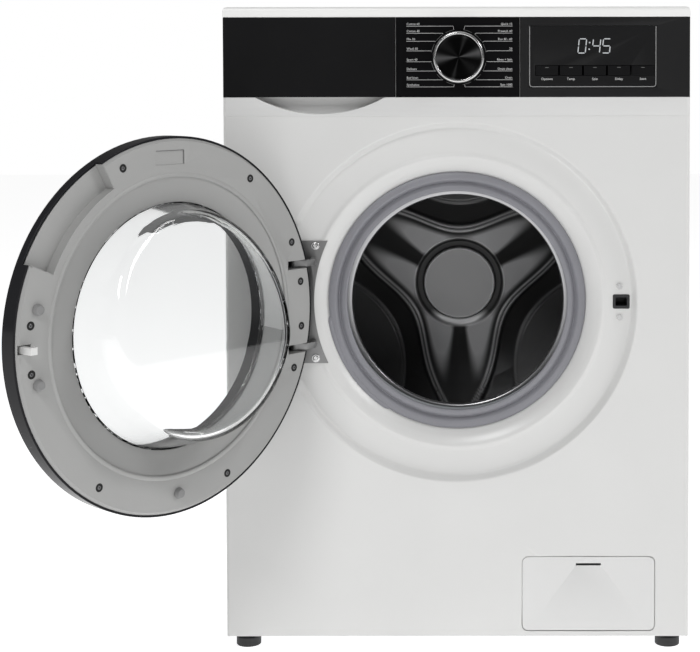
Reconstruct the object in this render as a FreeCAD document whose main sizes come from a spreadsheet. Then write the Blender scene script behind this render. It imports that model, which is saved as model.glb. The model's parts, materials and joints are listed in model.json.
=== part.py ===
import FreeCAD, Part
import math
import os
import Sketcher

# Front load washing machine with its door open.
# Millimetres. The origin is on the floor at the centre of the cabinet's footprint,
# +X to the right, +Y to the rear, +Z up. "Depth" below means distance behind the front face.

doc = FreeCAD.newDocument("washing_machine")
sheet = doc.addObject("Spreadsheet::Sheet", "sizes")

SIZES = {
    # cabinet
    "cabinet_width": 595, "cabinet_depth": 420, "cabinet_height": 830,
    "foot_gap": 20, "sheet_metal": 1, "panel_return": 15, "panel_corner": 4,
    "flange_width": 20, "rear_step": 2, "fit_gap": 0.3, "running_fit": 0.06,
    "worktop_thick": 13, "worktop_edge": 5, "pan_height": 25, "pan_wall": 1.2,
    "rear_opening_width": 400, "rear_opening_height": 560, "rear_opening_low": 130,
    "rear_overlap": 12, "brace_drop": 27, "brace_wall": 1.5, "brace_width": 19,
    # feet
    "foot_radius": 16, "foot_pad": 12, "foot_inset_side": 24, "foot_inset_front": 32,
    "foot_collar": 9, "stud_radius": 5, "stud_length": 18, "weld_nut": 11, "weld_nut_height": 10,
    # control panel
    "fascia_height": 126, "strip_height": 24, "fascia_wall": 2.5, "facing_thick": 3,
    "knob_panel_left": 77, "display_left": 81, "panel_gap": 0.8,
    "knob_offset": 3, "knob_drop": 51, "knob_radius": 33, "knob_height": 20, "knob_shaft": 3,
    "window_left": 92, "window_width": 163, "window_height": 79, "window_drop": 11,
    "window_sink": 0.4, "button_count": 5, "button_width": 28.5, "button_height": 12,
    "button_pitch": 30.5, "button_first": 101, "button_drop": 74, "button_depth": 8,
    "button_gap": 0.4, "board_depth": 11, "board_thick": 1.6,
    # detergent drawer
    "drawer_width": 176, "drawer_side_gap": 29, "drawer_height": 78, "drawer_floor": 9,
    "drawer_length": 215, "drawer_wall": 2, "drawer_gap": 0.8, "housing_start": 24,
    "housing_wall": 2, "pull_width": 165, "pull_centre": 174, "pull_depth": 18,
    "pull_floor": 2.5, "dispenser_outlet": 14,
    # porthole in the front panel: its radii and the door's all follow door_radius
    "door_radius": 222,
    "porthole_height": 452, "dish_gap": 8, "dish_depth": 10, "throat_radius": "=door_radius - 39",
    "lip_radius": "=door_radius - 59", "lip_width": 3, "lip_depth": 24, "pocket_height": 210,
    "pocket_reach": "=door_radius + 14", "pocket_inner": "=door_radius - 22",
    # door
    "door_thick": 28, "door_inset": 2.7, "rim_wall": 2.5, "rim_drop": 3, "frame_skin": 2.5,
    "frame_step": "=door_radius - 45", "bowl_radius": "=door_radius - 78",
    "bowl_end": "=door_radius - 99", "bowl_reach": 68, "bowl_wall": 6, "bowl_flange": 14,
    "bowl_seat": 6.5, "flange_thick": 4.5, "crease_drop": 21, "facet_slope": 15.9,
    "screw_circle": "=door_radius - 19", "screw_head": 3.8, "screw_shank": 1.9,
    "screw_recess": 1.6, "boss_radius": 4.5, "bumper_radius": 7,
    "bumper_circle": "=door_radius - 25", "bumper_clear": 0.8,
    "grip_inner": "=door_radius - 34", "grip_depth": 14,
    "hinge_side": "=door_radius - 16", "hinge_forward": 14, "hinge_spread": 53, "hinge_pin": 3,
    "hinge_eye": 6, "arm_width": 7, "arm_height": 8, "arm_gap": 1.5, "arm_step": 22,
    "slot_reach": 27, "bracket_plate": 2, "bracket_half": 79, "door_open": 129.67,
    "hinge_screw_side": "=door_radius - 40.5", "hinge_screw_spread": 72.5,
    "latch_side": "=door_radius - 10.5", "latch_width": 8, "latch_thick": 5, "latch_reach": 17,
    "latch_pin": 1.5, "latch_pin_depth": 9, "lock_length": 70, "lock_width": 33, "lock_depth": 24,
    # gasket
    "gasket_wall": 3, "gasket_lip": "=door_radius - 80.5", "gasket_lip_depth": 19,
    "neck_radius": "=door_radius - 68", "neck_depth": 58,
    # tub and drum
    "drum_lower": 8, "drum_radius": 236, "drum_wall": 1, "drum_front": 84, "drum_length": 216,
    "drum_mouth": "=door_radius - 82", "hub_radius": 52, "hub_reach": 50, "tub_gap": 14,
    "tub_wall": 4, "tub_front_depth": 70, "tub_split": 100, "tub_back_gap": 16, "tub_back": 6, "tub_flange": 14,
    "lifter_height": 36, "lifter_width": 48, "spider_thick": 10, "spider_arm": 40,
    "spider_hub": 40, "shaft_radius": 15, "bearing_radius": 31, "bearing_width": 16,
    "bearing_gap": 4, "pulley_radius": 130, "pulley_width": 14, "pulley_bore": 12,
    "belt_thick": 4, "motor_side": 110, "motor_height": 115, "motor_radius": 52,
    "motor_length": 120, "motor_shaft": 6, "motor_pulley": 10,
    "counterweight_inner": "=door_radius - 45", "counterweight_outer": 245, "counterweight_thick": 28,
    "well_left": 30, "well_width": 120, "well_drop": 22, "heater_tube": 4.2,
    "spring_side": 235, "spring_depth": 270, "spring_coil": 12, "spring_wire": 1.6,
    "spring_pitch": 6.5, "spring_turns": 22, "spring_ear": 128, "damper_side": 215,
    "damper_depth": 230, "damper_tube": 14, "damper_rod": 10, "damper_length": 165,
    "damper_ear": 174,
    # water and drain
    "valve_side": 220, "valve_drop": 47, "valve_thread": 13.2, "valve_bore": 8, "valve_out": 14,
    "hose_bore": 7, "hose_wall": 2.5, "gland_side": 230, "gland_bore": 4, "gland_body": 9,
    "filter_side": 125, "filter_height": 75, "plug_radius": 25, "filter_wall": 4,
    "filter_length": 125, "recess_depth": 25, "plug_handle": 14, "pump_radius": 33,
    "pump_chamber": 22, "impeller_radius": 22, "pump_motor": 54, "drain_side": 258,
    "drain_radius": 10, "drain_wall": 2, "drain_out": 18, "sump_spigot": 18, "sump_depth": 125,
    # service flap
    "flap_left": 83, "flap_width": 171, "flap_low": 27, "flap_height": 97, "flap_thick": 2.5,
    "flap_corner": 9, "flap_axis": 15, "flap_axis_depth": 6, "flap_pin": 2, "coin_width": 32,
    "coin_height": 3, "coin_drop": 9,
}


class Size:
    """A value worked out from the sheet: its number, and the expression that gives it."""

    def __init__(self, text, value):
        self.text = text
        self.value = value

    def mixed(self, other, sign, value, turned_round=False):
        pair = [self.text, formula(other)]
        if turned_round:
            pair.reverse()
        return Size("(%s %s %s)" % (pair[0], sign, pair[1]), value)

    def __add__(self, other):
        return self.mixed(other, "+", self.value + number(other))

    def __radd__(self, other):
        return self + other

    def __sub__(self, other):
        return self.mixed(other, "-", self.value - number(other))

    def __rsub__(self, other):
        return self.mixed(other, "-", number(other) - self.value, True)

    def __mul__(self, other):
        return self.mixed(other, "*", self.value * number(other))

    def __rmul__(self, other):
        return self * other

    def __truediv__(self, other):
        return self.mixed(other, "/", self.value / number(other))

    def __neg__(self):
        return self * -1


def number(value):
    return value.value if isinstance(value, Size) else float(value)


def formula(value):
    return value.text if isinstance(value, Size) else repr(float(value))


for row, (alias, amount) in enumerate(SIZES.items(), start=1):
    sheet.set("A%d" % row, alias.replace("_", " "))
    sheet.set("B%d" % row, str(amount))
    sheet.setAlias("B%d" % row, alias)
doc.recompute()


class Sheet:
    """Gives each alias of the sheet as a Size, so that sizes.door_radius can be worked with."""

    def __getattr__(self, alias):
        return Size("sizes.%s" % alias, float(sheet.get(alias)))


sizes = Sheet()

# ---------------------------------------------------------------- ways of making a piece

Vector = FreeCAD.Vector
TURNS = {
    "X": FreeCAD.Rotation(Vector(0, 1, 0), 90),
    "Y": FreeCAD.Rotation(Vector(1, 0, 0), -90),
    "Z": FreeCAD.Rotation(),
}
AXES = ("x", "y", "z")


def tie(obj, prop, value):
    """Set one property, bound to the sheet where its value comes from there."""
    if isinstance(value, Size):
        obj.setExpression(prop, value.text)
    else:
        setattr(obj, prop, float(value))


def stand(obj, start, along="Z"):
    """Put an object's own origin at start, with its Z axis along X, Y or Z."""
    obj.Placement = FreeCAD.Placement(Vector(*[number(value) for value in start]), TURNS[along])
    for axis, value in zip(AXES, start):
        if isinstance(value, Size):
            obj.setExpression("Placement.Base.%s" % axis, value.text)
    return obj


def box(label, low, extent):
    obj = doc.addObject("Part::Box", label)
    for prop, value in zip(("Length", "Width", "Height"), extent):
        tie(obj, prop, value)
    return stand(obj, low)


def rod(label, radius, length, start, along="Y"):
    obj = doc.addObject("Part::Cylinder", label)
    tie(obj, "Radius", radius)
    tie(obj, "Height", length)
    return stand(obj, start, along)


def cone(label, radius_near, radius_far, length, start, along="Y"):
    obj = doc.addObject("Part::Cone", label)
    tie(obj, "Radius1", radius_near)
    tie(obj, "Radius2", radius_far)
    tie(obj, "Height", length)
    return stand(obj, start, along)


def joined(label, pieces):
    obj = doc.addObject("Part::MultiFuse", label)
    obj.Shapes = pieces
    return obj


def shared(label, pieces):
    obj = doc.addObject("Part::MultiCommon", label)
    obj.Shapes = pieces
    return obj


def grouped(label, pieces):
    obj = doc.addObject("Part::Compound", label)
    obj.Links = pieces
    return obj


def cut(label, base, tools):
    obj = doc.addObject("Part::Cut", label)
    obj.Base = base
    obj.Tool = tools[0] if len(tools) == 1 else joined(label + "_tools", tools)
    return obj


def rounded(label, base, radius, chosen):
    """Round the edges of base for which chosen(edge) is true."""
    doc.recompute()
    obj = doc.addObject("Part::Fillet", label)
    obj.Base = base
    amount = number(radius)
    obj.Edges = [
        (index, amount, amount)
        for index, edge in enumerate(base.Shape.Edges, start=1)
        if chosen(edge)
    ]
    return obj


def outline_sketch(body, plane_role, outline):
    """A closed sketch of straight edges whose corners are bound to the sheet, one by one."""
    plane = [item for item in body.Origin.OriginFeatures if item.Role == plane_role][0]
    sketch = body.newObject("Sketcher::SketchObject", body.Name + "_outline")
    sketch.AttachmentSupport = [(plane, "")]
    sketch.MapMode = "FlatFace"
    corners = [Vector(number(first), number(second), 0) for first, second in outline]
    count = len(corners)
    for index in range(count):
        line = Part.LineSegment(corners[index], corners[(index + 1) % count])
        sketch.addGeometry(line, False)
    for index in range(count):
        sketch.addConstraint(Sketcher.Constraint("Coincident", index, 2, (index + 1) % count, 1))
    for index, corner in enumerate(outline):
        for kind, axis, value in (("DistanceX", -2, corner[0]), ("DistanceY", -1, corner[1])):
            if number(value) == 0:
                sketch.addConstraint(Sketcher.Constraint("PointOnObject", index, 1, axis))
                continue
            rule = Sketcher.Constraint(kind, -1, 1, index, 1, number(value))
            place = sketch.addConstraint(rule)
            if isinstance(value, Size):
                sketch.setExpression("Constraints[%d]" % place, value.text)
    return sketch


def turned(label, profile, start, along="Y"):
    """A body of revolution: profile corners are (radius, distance along the axis)."""
    body = doc.addObject("PartDesign::Body", label)
    sketch = outline_sketch(body, "XZ_Plane", profile)
    turn = body.newObject("PartDesign::Revolution", label + "_turn")
    turn.Profile = sketch
    turn.ReferenceAxis = (sketch, ["V_Axis"])
    turn.Angle = 360
    return stand(body, start, along)


def padded(label, outline, thick, start):
    """A plate: its outline corners are (x, y) from start, and it rises by thick along Z."""
    body = doc.addObject("PartDesign::Body", label)
    sketch = outline_sketch(body, "XY_Plane", outline)
    pad = body.newObject("PartDesign::Pad", label + "_pad")
    pad.Profile = sketch
    tie(pad, "Length", thick)
    return stand(body, start)


def feature(label, shape):
    obj = doc.addObject("Part::Feature", label)
    obj.Shape = shape
    return obj


NODES = []


def node(name, obj):
    """Keep obj as a finished sub-part under its own name."""
    obj.Label = name
    NODES.append(obj)
    return obj


# ---------------------------------------------------------------- places used all over

SIDE = sizes.cabinet_width / 2
FRONT = -(sizes.cabinet_depth / 2)
REAR = sizes.cabinet_depth / 2
TOP = sizes.cabinet_height - sizes.worktop_thick
FASCIA_BOTTOM = TOP - sizes.fascia_height
FACING_BOTTOM = FASCIA_BOTTOM + sizes.strip_height
SHEET = sizes.sheet_metal
REAR_INSIDE = REAR - sizes.rear_step - SHEET
INSIDE_FRONT = FRONT + sizes.panel_return + SHEET
PORTHOLE = sizes.porthole_height
DRUM_HEIGHT = PORTHOLE - sizes.drum_lower
LOW = 1.0  # how far a cutting piece starts before the face that it cuts


def depth(value):
    return FRONT + value


# ---------------------------------------------------------------- cabinet

PANEL_HEIGHT = FASCIA_BOTTOM - sizes.foot_gap
SHELL_HEIGHT = TOP - sizes.foot_gap
VALVE_HEIGHT = TOP - sizes.valve_drop
DRAIN_HEIGHT = sizes.filter_height


def make_shell():
    shell_front = depth(sizes.panel_return)
    shell_depth = sizes.cabinet_depth - sizes.panel_return - sizes.rear_step
    outer = box(
        "shell_outer", (-SIDE, shell_front, sizes.foot_gap),
        (sizes.cabinet_width, shell_depth, SHELL_HEIGHT),
    )
    inner = box(
        "shell_inner", (SHEET - SIDE, shell_front + SHEET, sizes.foot_gap - LOW),
        (sizes.cabinet_width - SHEET * 2, shell_depth - SHEET * 2, SHELL_HEIGHT + 2 * LOW),
    )
    mouth = box(
        "shell_mouth", (sizes.flange_width - SIDE, shell_front - LOW, sizes.foot_gap - LOW),
        (sizes.cabinet_width - sizes.flange_width * 2, SHEET + 2 * LOW, SHELL_HEIGHT + 2 * LOW),
    )
    window = box(
        "shell_window",
        (-(sizes.rear_opening_width / 2), REAR_INSIDE - LOW, sizes.rear_opening_low),
        (sizes.rear_opening_width, SHEET + 2 * LOW, sizes.rear_opening_height),
    )
    holes = [
        rod(
            "shell_hole_" + name, radius + sizes.fit_gap, SHEET + 2 * LOW,
            (side, REAR_INSIDE - LOW, height),
        )
        for name, radius, side, height in (
            ("valve", sizes.valve_thread, -sizes.valve_side, VALVE_HEIGHT),
            ("gland", sizes.gland_body, sizes.gland_side, VALVE_HEIGHT),
            ("drain", sizes.drain_radius, sizes.drain_side, DRAIN_HEIGHT),
        )
    ]
    node("cabinet_shell", cut("shell", outer, [inner, mouth, window] + holes))


REAR_SCREW_SIDE = sizes.rear_opening_width / 2 + sizes.rear_overlap / 2
REAR_SCREW_ROWS = 4


def rear_screw_height(row):
    low = sizes.rear_opening_low + sizes.rear_overlap
    return low + (sizes.rear_opening_height - sizes.rear_overlap * 2) * (row / (REAR_SCREW_ROWS - 1))


def make_back_panel():
    plate = box(
        "back_plate",
        (
            -(sizes.rear_opening_width / 2) - sizes.rear_overlap, REAR - sizes.rear_step,
            sizes.rear_opening_low - sizes.rear_overlap,
        ),
        (
            sizes.rear_opening_width + sizes.rear_overlap * 2, SHEET,
            sizes.rear_opening_height + sizes.rear_overlap * 2,
        ),
    )
    ribs = [
        box(
            "back_rib_%d" % index,
            (-(sizes.rear_opening_width / 2) + 30, REAR - sizes.rear_step + SHEET,
             sizes.rear_opening_low + 90 + 120 * index),
            (sizes.rear_opening_width - 60, SHEET, 40),
        )
        for index in range(4)
    ]
    node("back_panel", joined("back", [plate] + ribs))


def foot_places():
    side = SIDE - sizes.foot_inset_side
    front = depth(sizes.foot_inset_front)
    rear = REAR - sizes.foot_inset_front
    return {
        "front_left": (-side, front), "front_right": (side, front),
        "rear_left": (-side, rear), "rear_right": (side, rear),
    }


def make_base_pan():
    gap = sizes.fit_gap
    left = SHEET + gap - SIDE
    front = INSIDE_FRONT + gap
    wide = sizes.cabinet_width - (SHEET + gap) * 2
    deep = REAR_INSIDE - INSIDE_FRONT - gap * 2
    outer = box("pan_outer", (left, front, sizes.foot_gap), (wide, deep, sizes.pan_height))
    inner = box(
        "pan_inner",
        (left + sizes.pan_wall, front + sizes.pan_wall, sizes.foot_gap + sizes.pan_wall),
        (wide - sizes.pan_wall * 2, deep - sizes.pan_wall * 2, sizes.pan_height),
    )
    notch = box(
        "pan_notch", (sizes.flap_left - 12, front - LOW, sizes.foot_gap + sizes.pan_wall),
        (sizes.flap_width + 24, 4, sizes.pan_height),
    )
    tray = cut("pan_tray", outer, [inner, notch])
    nuts = []
    holes = []
    for name, (side, fore) in foot_places().items():
        nuts.append(rod(
            "pan_nut_" + name, sizes.weld_nut, sizes.weld_nut_height,
            (side, fore, sizes.foot_gap + sizes.pan_wall), "Z",
        ))
        holes.append(rod(
            "pan_hole_" + name, sizes.stud_radius + sizes.running_fit, 40,
            (side, fore, sizes.foot_gap - LOW), "Z",
        ))
    node("base_pan", cut("pan", joined("pan_body", [tray] + nuts), holes))


def make_feet():
    feet = {}
    for name, (side, fore) in foot_places().items():
        pad = rod("foot_pad_" + name, sizes.foot_radius, sizes.foot_pad, (side, fore, 0), "Z")
        collar = rod(
            "foot_collar_" + name, sizes.foot_collar, sizes.foot_gap - sizes.foot_pad,
            (side, fore, sizes.foot_pad), "Z",
        )
        stud = rod(
            "foot_stud_" + name, sizes.stud_radius, sizes.stud_length,
            (side, fore, sizes.foot_gap), "Z",
        )
        feet[name] = joined("foot_body_" + name, [pad, collar, stud])
    node("foot_front_left", feet["front_left"])
    node("foot_front_right", feet["front_right"])
    node("rear_feet", grouped("rear_feet_pair", [feet["rear_left"], feet["rear_right"]]))


def pocket_block(label, extra, reach):
    """The hinge pocket beside the dish, as a block that is extra larger than the pocket."""
    return box(
        label,
        (-sizes.pocket_reach - extra, FRONT - (LOW if reach else 0),
         PORTHOLE - sizes.pocket_height / 2 - extra),
        (sizes.pocket_reach - sizes.pocket_inner + extra,
         sizes.dish_depth + extra + (LOW if reach else 0), sizes.pocket_height + extra * 2),
    )


DISH_RADIUS = sizes.door_radius + sizes.dish_gap
THROAT_END = sizes.lip_radius + sizes.lip_width
THROAT_LENGTH = sizes.lip_depth - sizes.dish_depth


def upright_front_edge(edge):
    """An upright edge that lies on the front face of the box that it belongs to."""
    return abs(edge.Vertexes[0].X - edge.Vertexes[-1].X) < 1e-6 and edge.BoundBox.ZLength > 20


def front_corners(label, base, radius):
    doc.recompute()
    near = base.Shape.BoundBox.YMin
    return rounded(
        label, base, radius,
        lambda edge: upright_front_edge(edge) and abs(edge.BoundBox.YMax - near) < 1e-6,
    )


def make_front_panel():
    outer = front_corners("panel_outer_round", box(
        "panel_outer", (-SIDE, FRONT, sizes.foot_gap),
        (sizes.cabinet_width, sizes.panel_return, PANEL_HEIGHT),
    ), sizes.panel_corner)
    inner = front_corners("panel_inner_round", box(
        "panel_inner", (SHEET - SIDE, FRONT + SHEET, sizes.foot_gap + SHEET),
        (sizes.cabinet_width - SHEET * 2, sizes.panel_return, PANEL_HEIGHT - SHEET * 2),
    ), sizes.panel_corner - SHEET)
    centre = (0, FRONT, PORTHOLE)
    dish = rod("dish_outer", DISH_RADIUS + SHEET, sizes.dish_depth + SHEET, centre)
    throat_start = (0, depth(sizes.dish_depth), PORTHOLE)
    throat = cone(
        "throat_outer", sizes.throat_radius + SHEET, THROAT_END + SHEET, THROAT_LENGTH + SHEET,
        throat_start,
    )
    body = joined("panel_body", [
        cut("panel_skin", outer, [inner]), dish, pocket_block("pocket_outer", SHEET, False), throat,
    ])
    dish_cut = rod("dish_cut", DISH_RADIUS, sizes.dish_depth + LOW, (0, FRONT - LOW, PORTHOLE))
    throat_cut = cone(
        "throat_cut", sizes.throat_radius, THROAT_END, THROAT_LENGTH, throat_start,
    )
    lip_cut = rod(
        "lip_cut", sizes.lip_radius, sizes.lip_depth + 2 * LOW + SHEET, (0, FRONT - LOW, PORTHOLE),
    )
    slot = box(
        "latch_slot", (sizes.latch_side - 9, depth(sizes.dish_depth) - LOW, PORTHOLE - 6),
        (17, SHEET + 2 * LOW, 12),
    )
    flap_hole = box(
        "flap_hole", (sizes.flap_left, FRONT - LOW, sizes.flap_low),
        (sizes.flap_width, SHEET + 2 * LOW, sizes.flap_height),
    )
    flap_round = rounded(
        "flap_hole_round", flap_hole, sizes.flap_corner,
        lambda edge: edge.BoundBox.YLength > SHEET.value and edge.BoundBox.XLength < 1e-6
        and edge.BoundBox.ZLength < 1e-6,
    )
    screw_holes = [
        rod("panel_hole_%d" % index, radius, 8, (side, depth(sizes.dish_depth) - LOW, height))
        for index, (side, height, radius) in enumerate(panel_screws())
    ]
    cuts = [dish_cut, pocket_block("pocket_cut", 0, True), throat_cut, lip_cut, slot, flap_round]
    node("front_panel", cut("panel", body, cuts + screw_holes))


def panel_screws():
    """Side, height and shank radius of the two hinge screws and the two lock screws."""
    return [
        (-sizes.hinge_screw_side, PORTHOLE + sizes.hinge_screw_spread, 2.0),
        (-sizes.hinge_screw_side, PORTHOLE - sizes.hinge_screw_spread, 2.0),
        (sizes.latch_side - 3, PORTHOLE + 20, 1.5),
        (sizes.latch_side - 3, PORTHOLE - 20, 1.5),
    ]


def make_worktop():
    block = box(
        "worktop_block", (-SIDE, FRONT, TOP),
        (sizes.cabinet_width, sizes.cabinet_depth, sizes.worktop_thick),
    )

    def top_edge(edge):
        span = edge.BoundBox
        high = abs(span.ZMin - number(sizes.cabinet_height)) < 1e-6
        rear = span.YLength < 1e-6 and span.YMax > 0
        return high and not rear

    node("worktop", rounded("worktop_round", block, sizes.worktop_edge, top_edge))


def make_top_braces():
    rails = []
    front = INSIDE_FRONT + sizes.fit_gap
    length = REAR_INSIDE - INSIDE_FRONT - sizes.fit_gap * 2
    low = TOP - sizes.brace_drop
    tab_reach = SIDE - SHEET - sizes.fit_gap - sizes.spring_side + 12
    for name, sign in (("left", -1), ("right", 1)):
        wall = SIDE - SHEET - sizes.fit_gap
        upright = box(
            "brace_upright_" + name,
            (wall * -1 if sign < 0 else wall - sizes.brace_wall, front, low),
            (sizes.brace_wall, length, sizes.brace_drop - 1),
        )
        shelf = box(
            "brace_shelf_" + name, (wall * -1 if sign < 0 else wall - sizes.brace_width, front, low),
            (sizes.brace_width, length, sizes.brace_wall),
        )
        tab = box(
            "brace_tab_" + name,
            (wall * -1 if sign < 0 else wall - tab_reach, depth(sizes.spring_depth) - 20, low),
            (tab_reach, 40, sizes.brace_wall),
        )
        rails.append(joined("brace_" + name, [upright, shelf, tab]))
    node("top_braces", grouped("brace_pair", rails))


# ---------------------------------------------------------------- control panel

KNOB_HEIGHT = TOP - sizes.knob_drop
WINDOW_LOW = TOP - sizes.window_drop - sizes.window_height
BUTTON_LOW = TOP - sizes.button_drop
DRAWER_LEFT = sizes.drawer_side_gap - SIDE
DRAWER_LOW = FACING_BOTTOM + sizes.drawer_floor
PULL_LEFT = sizes.pull_width / -2 - sizes.pull_centre


def tray_block(label, grow, start, length):
    """The space of the drawer's tray, grown on every side by grow."""
    return box(
        label, (DRAWER_LEFT - grow, start, DRAWER_LOW - grow),
        (sizes.drawer_width + grow * 2, length, sizes.drawer_height + grow * 2),
    )


def make_fascia():
    outer = front_corners("fascia_round", box(
        "fascia_outer", (-SIDE, FRONT, FASCIA_BOTTOM),
        (sizes.cabinet_width, sizes.panel_return, sizes.fascia_height),
    ), sizes.panel_corner)
    wall = sizes.fascia_wall
    inner = box(
        "fascia_inner", (wall - SIDE, FRONT + sizes.facing_thick + wall, FASCIA_BOTTOM + wall),
        (sizes.cabinet_width - wall * 2, sizes.panel_return, sizes.fascia_height - wall * 2),
    )
    pull_block = box(
        "pull_block", (PULL_LEFT - 3, FRONT + sizes.facing_thick, FASCIA_BOTTOM),
        (sizes.pull_width + 6, sizes.pull_depth, sizes.strip_height + sizes.drawer_floor - 3),
    )
    recess = box(
        "facing_recess", (-SIDE - LOW, FRONT - LOW, FACING_BOTTOM),
        (sizes.cabinet_width + 2 * LOW, sizes.facing_thick + LOW, sizes.fascia_height),
    )
    rise = sizes.strip_height - sizes.pull_floor
    bow = (sizes.pull_width * sizes.pull_width / 4 + rise * rise) / (rise * 2)
    pocket_box = box(
        "pull_pocket_box", (PULL_LEFT, FRONT - LOW, FASCIA_BOTTOM + sizes.pull_floor),
        (sizes.pull_width, sizes.pull_depth + LOW, rise + 5),
    )
    pocket_bow = rod(
        "pull_pocket_bow", bow, sizes.pull_depth + LOW,
        (-sizes.pull_centre, FRONT - LOW, FASCIA_BOTTOM + sizes.pull_floor + bow),
    )
    mouth = tray_block("drawer_mouth", sizes.drawer_gap, FRONT - LOW, 30)
    shaft_hole = rod(
        "fascia_shaft_hole", sizes.knob_shaft * 3, 30, (sizes.knob_offset, FRONT - LOW, KNOB_HEIGHT),
    )
    window = box(
        "fascia_window", (sizes.window_left + 2.5, FRONT - LOW, WINDOW_LOW + 2.5),
        (sizes.window_width - 5, 30, sizes.window_height - 5),
    )
    body = joined("fascia_body", [cut("fascia_skin", outer, [inner]), pull_block])
    pocket = shared("pull_pocket", [pocket_box, pocket_bow])
    node("fascia_carrier", cut("fascia", body, [recess, pocket, mouth, shaft_hole, window]))


def make_facings():
    tall = TOP - FACING_BOTTOM
    plate = box(
        "knob_plate", (-sizes.knob_panel_left, FRONT, FACING_BOTTOM),
        (sizes.knob_panel_left + sizes.display_left - sizes.panel_gap, sizes.facing_thick, tall),
    )
    hole = rod(
        "knob_plate_hole", sizes.knob_shaft + sizes.fit_gap, 20,
        (sizes.knob_offset, FRONT - LOW, KNOB_HEIGHT),
    )
    node("knob_panel", cut("knob_facing", plate, [hole]))
    block = front_corners("display_round", box(
        "display_plate", (-SIDE, FRONT, FACING_BOTTOM),
        (sizes.cabinet_width, sizes.facing_thick, tall),
    ), sizes.facing_thick - 0.2)
    left_away = box(
        "display_away", (-SIDE - LOW, FRONT - LOW, FACING_BOTTOM - LOW),
        (SIDE + sizes.display_left + LOW, 20, tall + 2 * LOW),
    )
    window = box(
        "display_hole", (sizes.window_left, FRONT - LOW, WINDOW_LOW),
        (sizes.window_width, 20, sizes.window_height),
    )
    node("display_panel", cut("display_facing", block, [left_away, window]))


def button_left(index):
    return sizes.button_first + sizes.button_pitch * index


def make_window_and_buttons():
    gap = sizes.button_gap
    pane = box(
        "window_pane",
        (sizes.window_left + sizes.fit_gap, FRONT + sizes.window_sink, WINDOW_LOW + sizes.fit_gap),
        (sizes.window_width - sizes.fit_gap * 2, sizes.facing_thick - sizes.window_sink,
         sizes.window_height - sizes.fit_gap * 2),
    )
    holes = []
    buttons = []
    for index in range(int(sizes.button_count.value)):
        left = button_left(index)
        holes.append(box(
            "button_hole_%d" % index, (left - gap, FRONT - LOW, BUTTON_LOW - gap),
            (sizes.button_width + gap * 2, 20, sizes.button_height + gap * 2),
        ))
        buttons.append(box(
            "button_block_%d" % index, (left, FRONT, BUTTON_LOW),
            (sizes.button_width, sizes.button_depth, sizes.button_height),
        ))
    node("display_window", cut("window", pane, holes))
    for index, button in enumerate(buttons, start=1):
        node("button_%d" % index, button)


def make_control_board():
    back = depth(sizes.board_depth)
    right = sizes.window_left + sizes.window_width
    board = box(
        "board_plate", (sizes.knob_offset - 25, back, WINDOW_LOW),
        (right - sizes.knob_offset + 25, sizes.board_thick, sizes.window_height),
    )
    module = box(
        "board_module", (sizes.window_left + 20, back + sizes.board_thick, WINDOW_LOW + 12),
        (sizes.window_width - 40, 22, sizes.window_height - 24),
    )
    sleeve = rod(
        "encoder_sleeve", sizes.knob_shaft + 4, 4, (sizes.knob_offset, back - 4, KNOB_HEIGHT),
    )
    bore = rod(
        "encoder_bore", sizes.knob_shaft + sizes.running_fit, 4,
        (sizes.knob_offset, back - 4, KNOB_HEIGHT),
    )
    switches = [
        box(
            "tact_switch_%d" % index,
            (button_left(index) + sizes.button_width / 2 - 3, back - 1, BUTTON_LOW + 3), (6, 1, 6),
        )
        for index in range(int(sizes.button_count.value))
    ]
    body = joined("board_body", [board, module, sleeve] + switches)
    node("control_board", cut("board", body, [bore]))


def make_knob():
    radius = sizes.knob_radius
    front = -sizes.knob_height
    shaft = sizes.knob_shaft
    node("selector_knob", turned("knob", [
        (0, front), (radius - 4, front), (radius, front + 3), (radius, -0.6), (shaft, -0.6),
        (shaft, sizes.board_depth - 1), (0, sizes.board_depth - 1),
    ], (sizes.knob_offset, FRONT, KNOB_HEIGHT)))


def make_drawer():
    skin = sizes.facing_thick - sizes.fit_gap
    plate = front_corners("drawer_front_round", box(
        "drawer_plate", (-SIDE, FRONT, FACING_BOTTOM + sizes.fit_gap),
        (SIDE * 2, skin, TOP - FACING_BOTTOM - sizes.fit_gap * 2),
    ), skin - 0.2)
    away = box(
        "drawer_front_away",
        (-sizes.knob_panel_left - sizes.panel_gap, FRONT - LOW, FACING_BOTTOM - LOW),
        (SIDE * 2, 20, TOP - FACING_BOTTOM + 2 * LOW),
    )
    node("drawer_front", cut("drawer_face", plate, [away]))

    start = FRONT + skin
    block = tray_block("tray_block", 0, start, sizes.drawer_length)
    wall = sizes.drawer_wall
    cell_start = start + 16
    cell_length = sizes.drawer_length - 16 - wall
    widths = ((sizes.drawer_width - wall * 4) * 0.26, (sizes.drawer_width - wall * 4) * 0.44,
              (sizes.drawer_width - wall * 4) * 0.30)
    left = DRAWER_LEFT + wall
    cells = []
    for index, wide in enumerate(widths):
        floor = DRAWER_LOW + wall + (14 if index == 0 else 0)
        cells.append(box(
            "tray_cell_%d" % index, (left, cell_start, floor),
            (wide, cell_length, sizes.drawer_height),
        ))
        left = left + wide + wall
    node("drawer_tray", cut("tray", block, cells))


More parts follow.
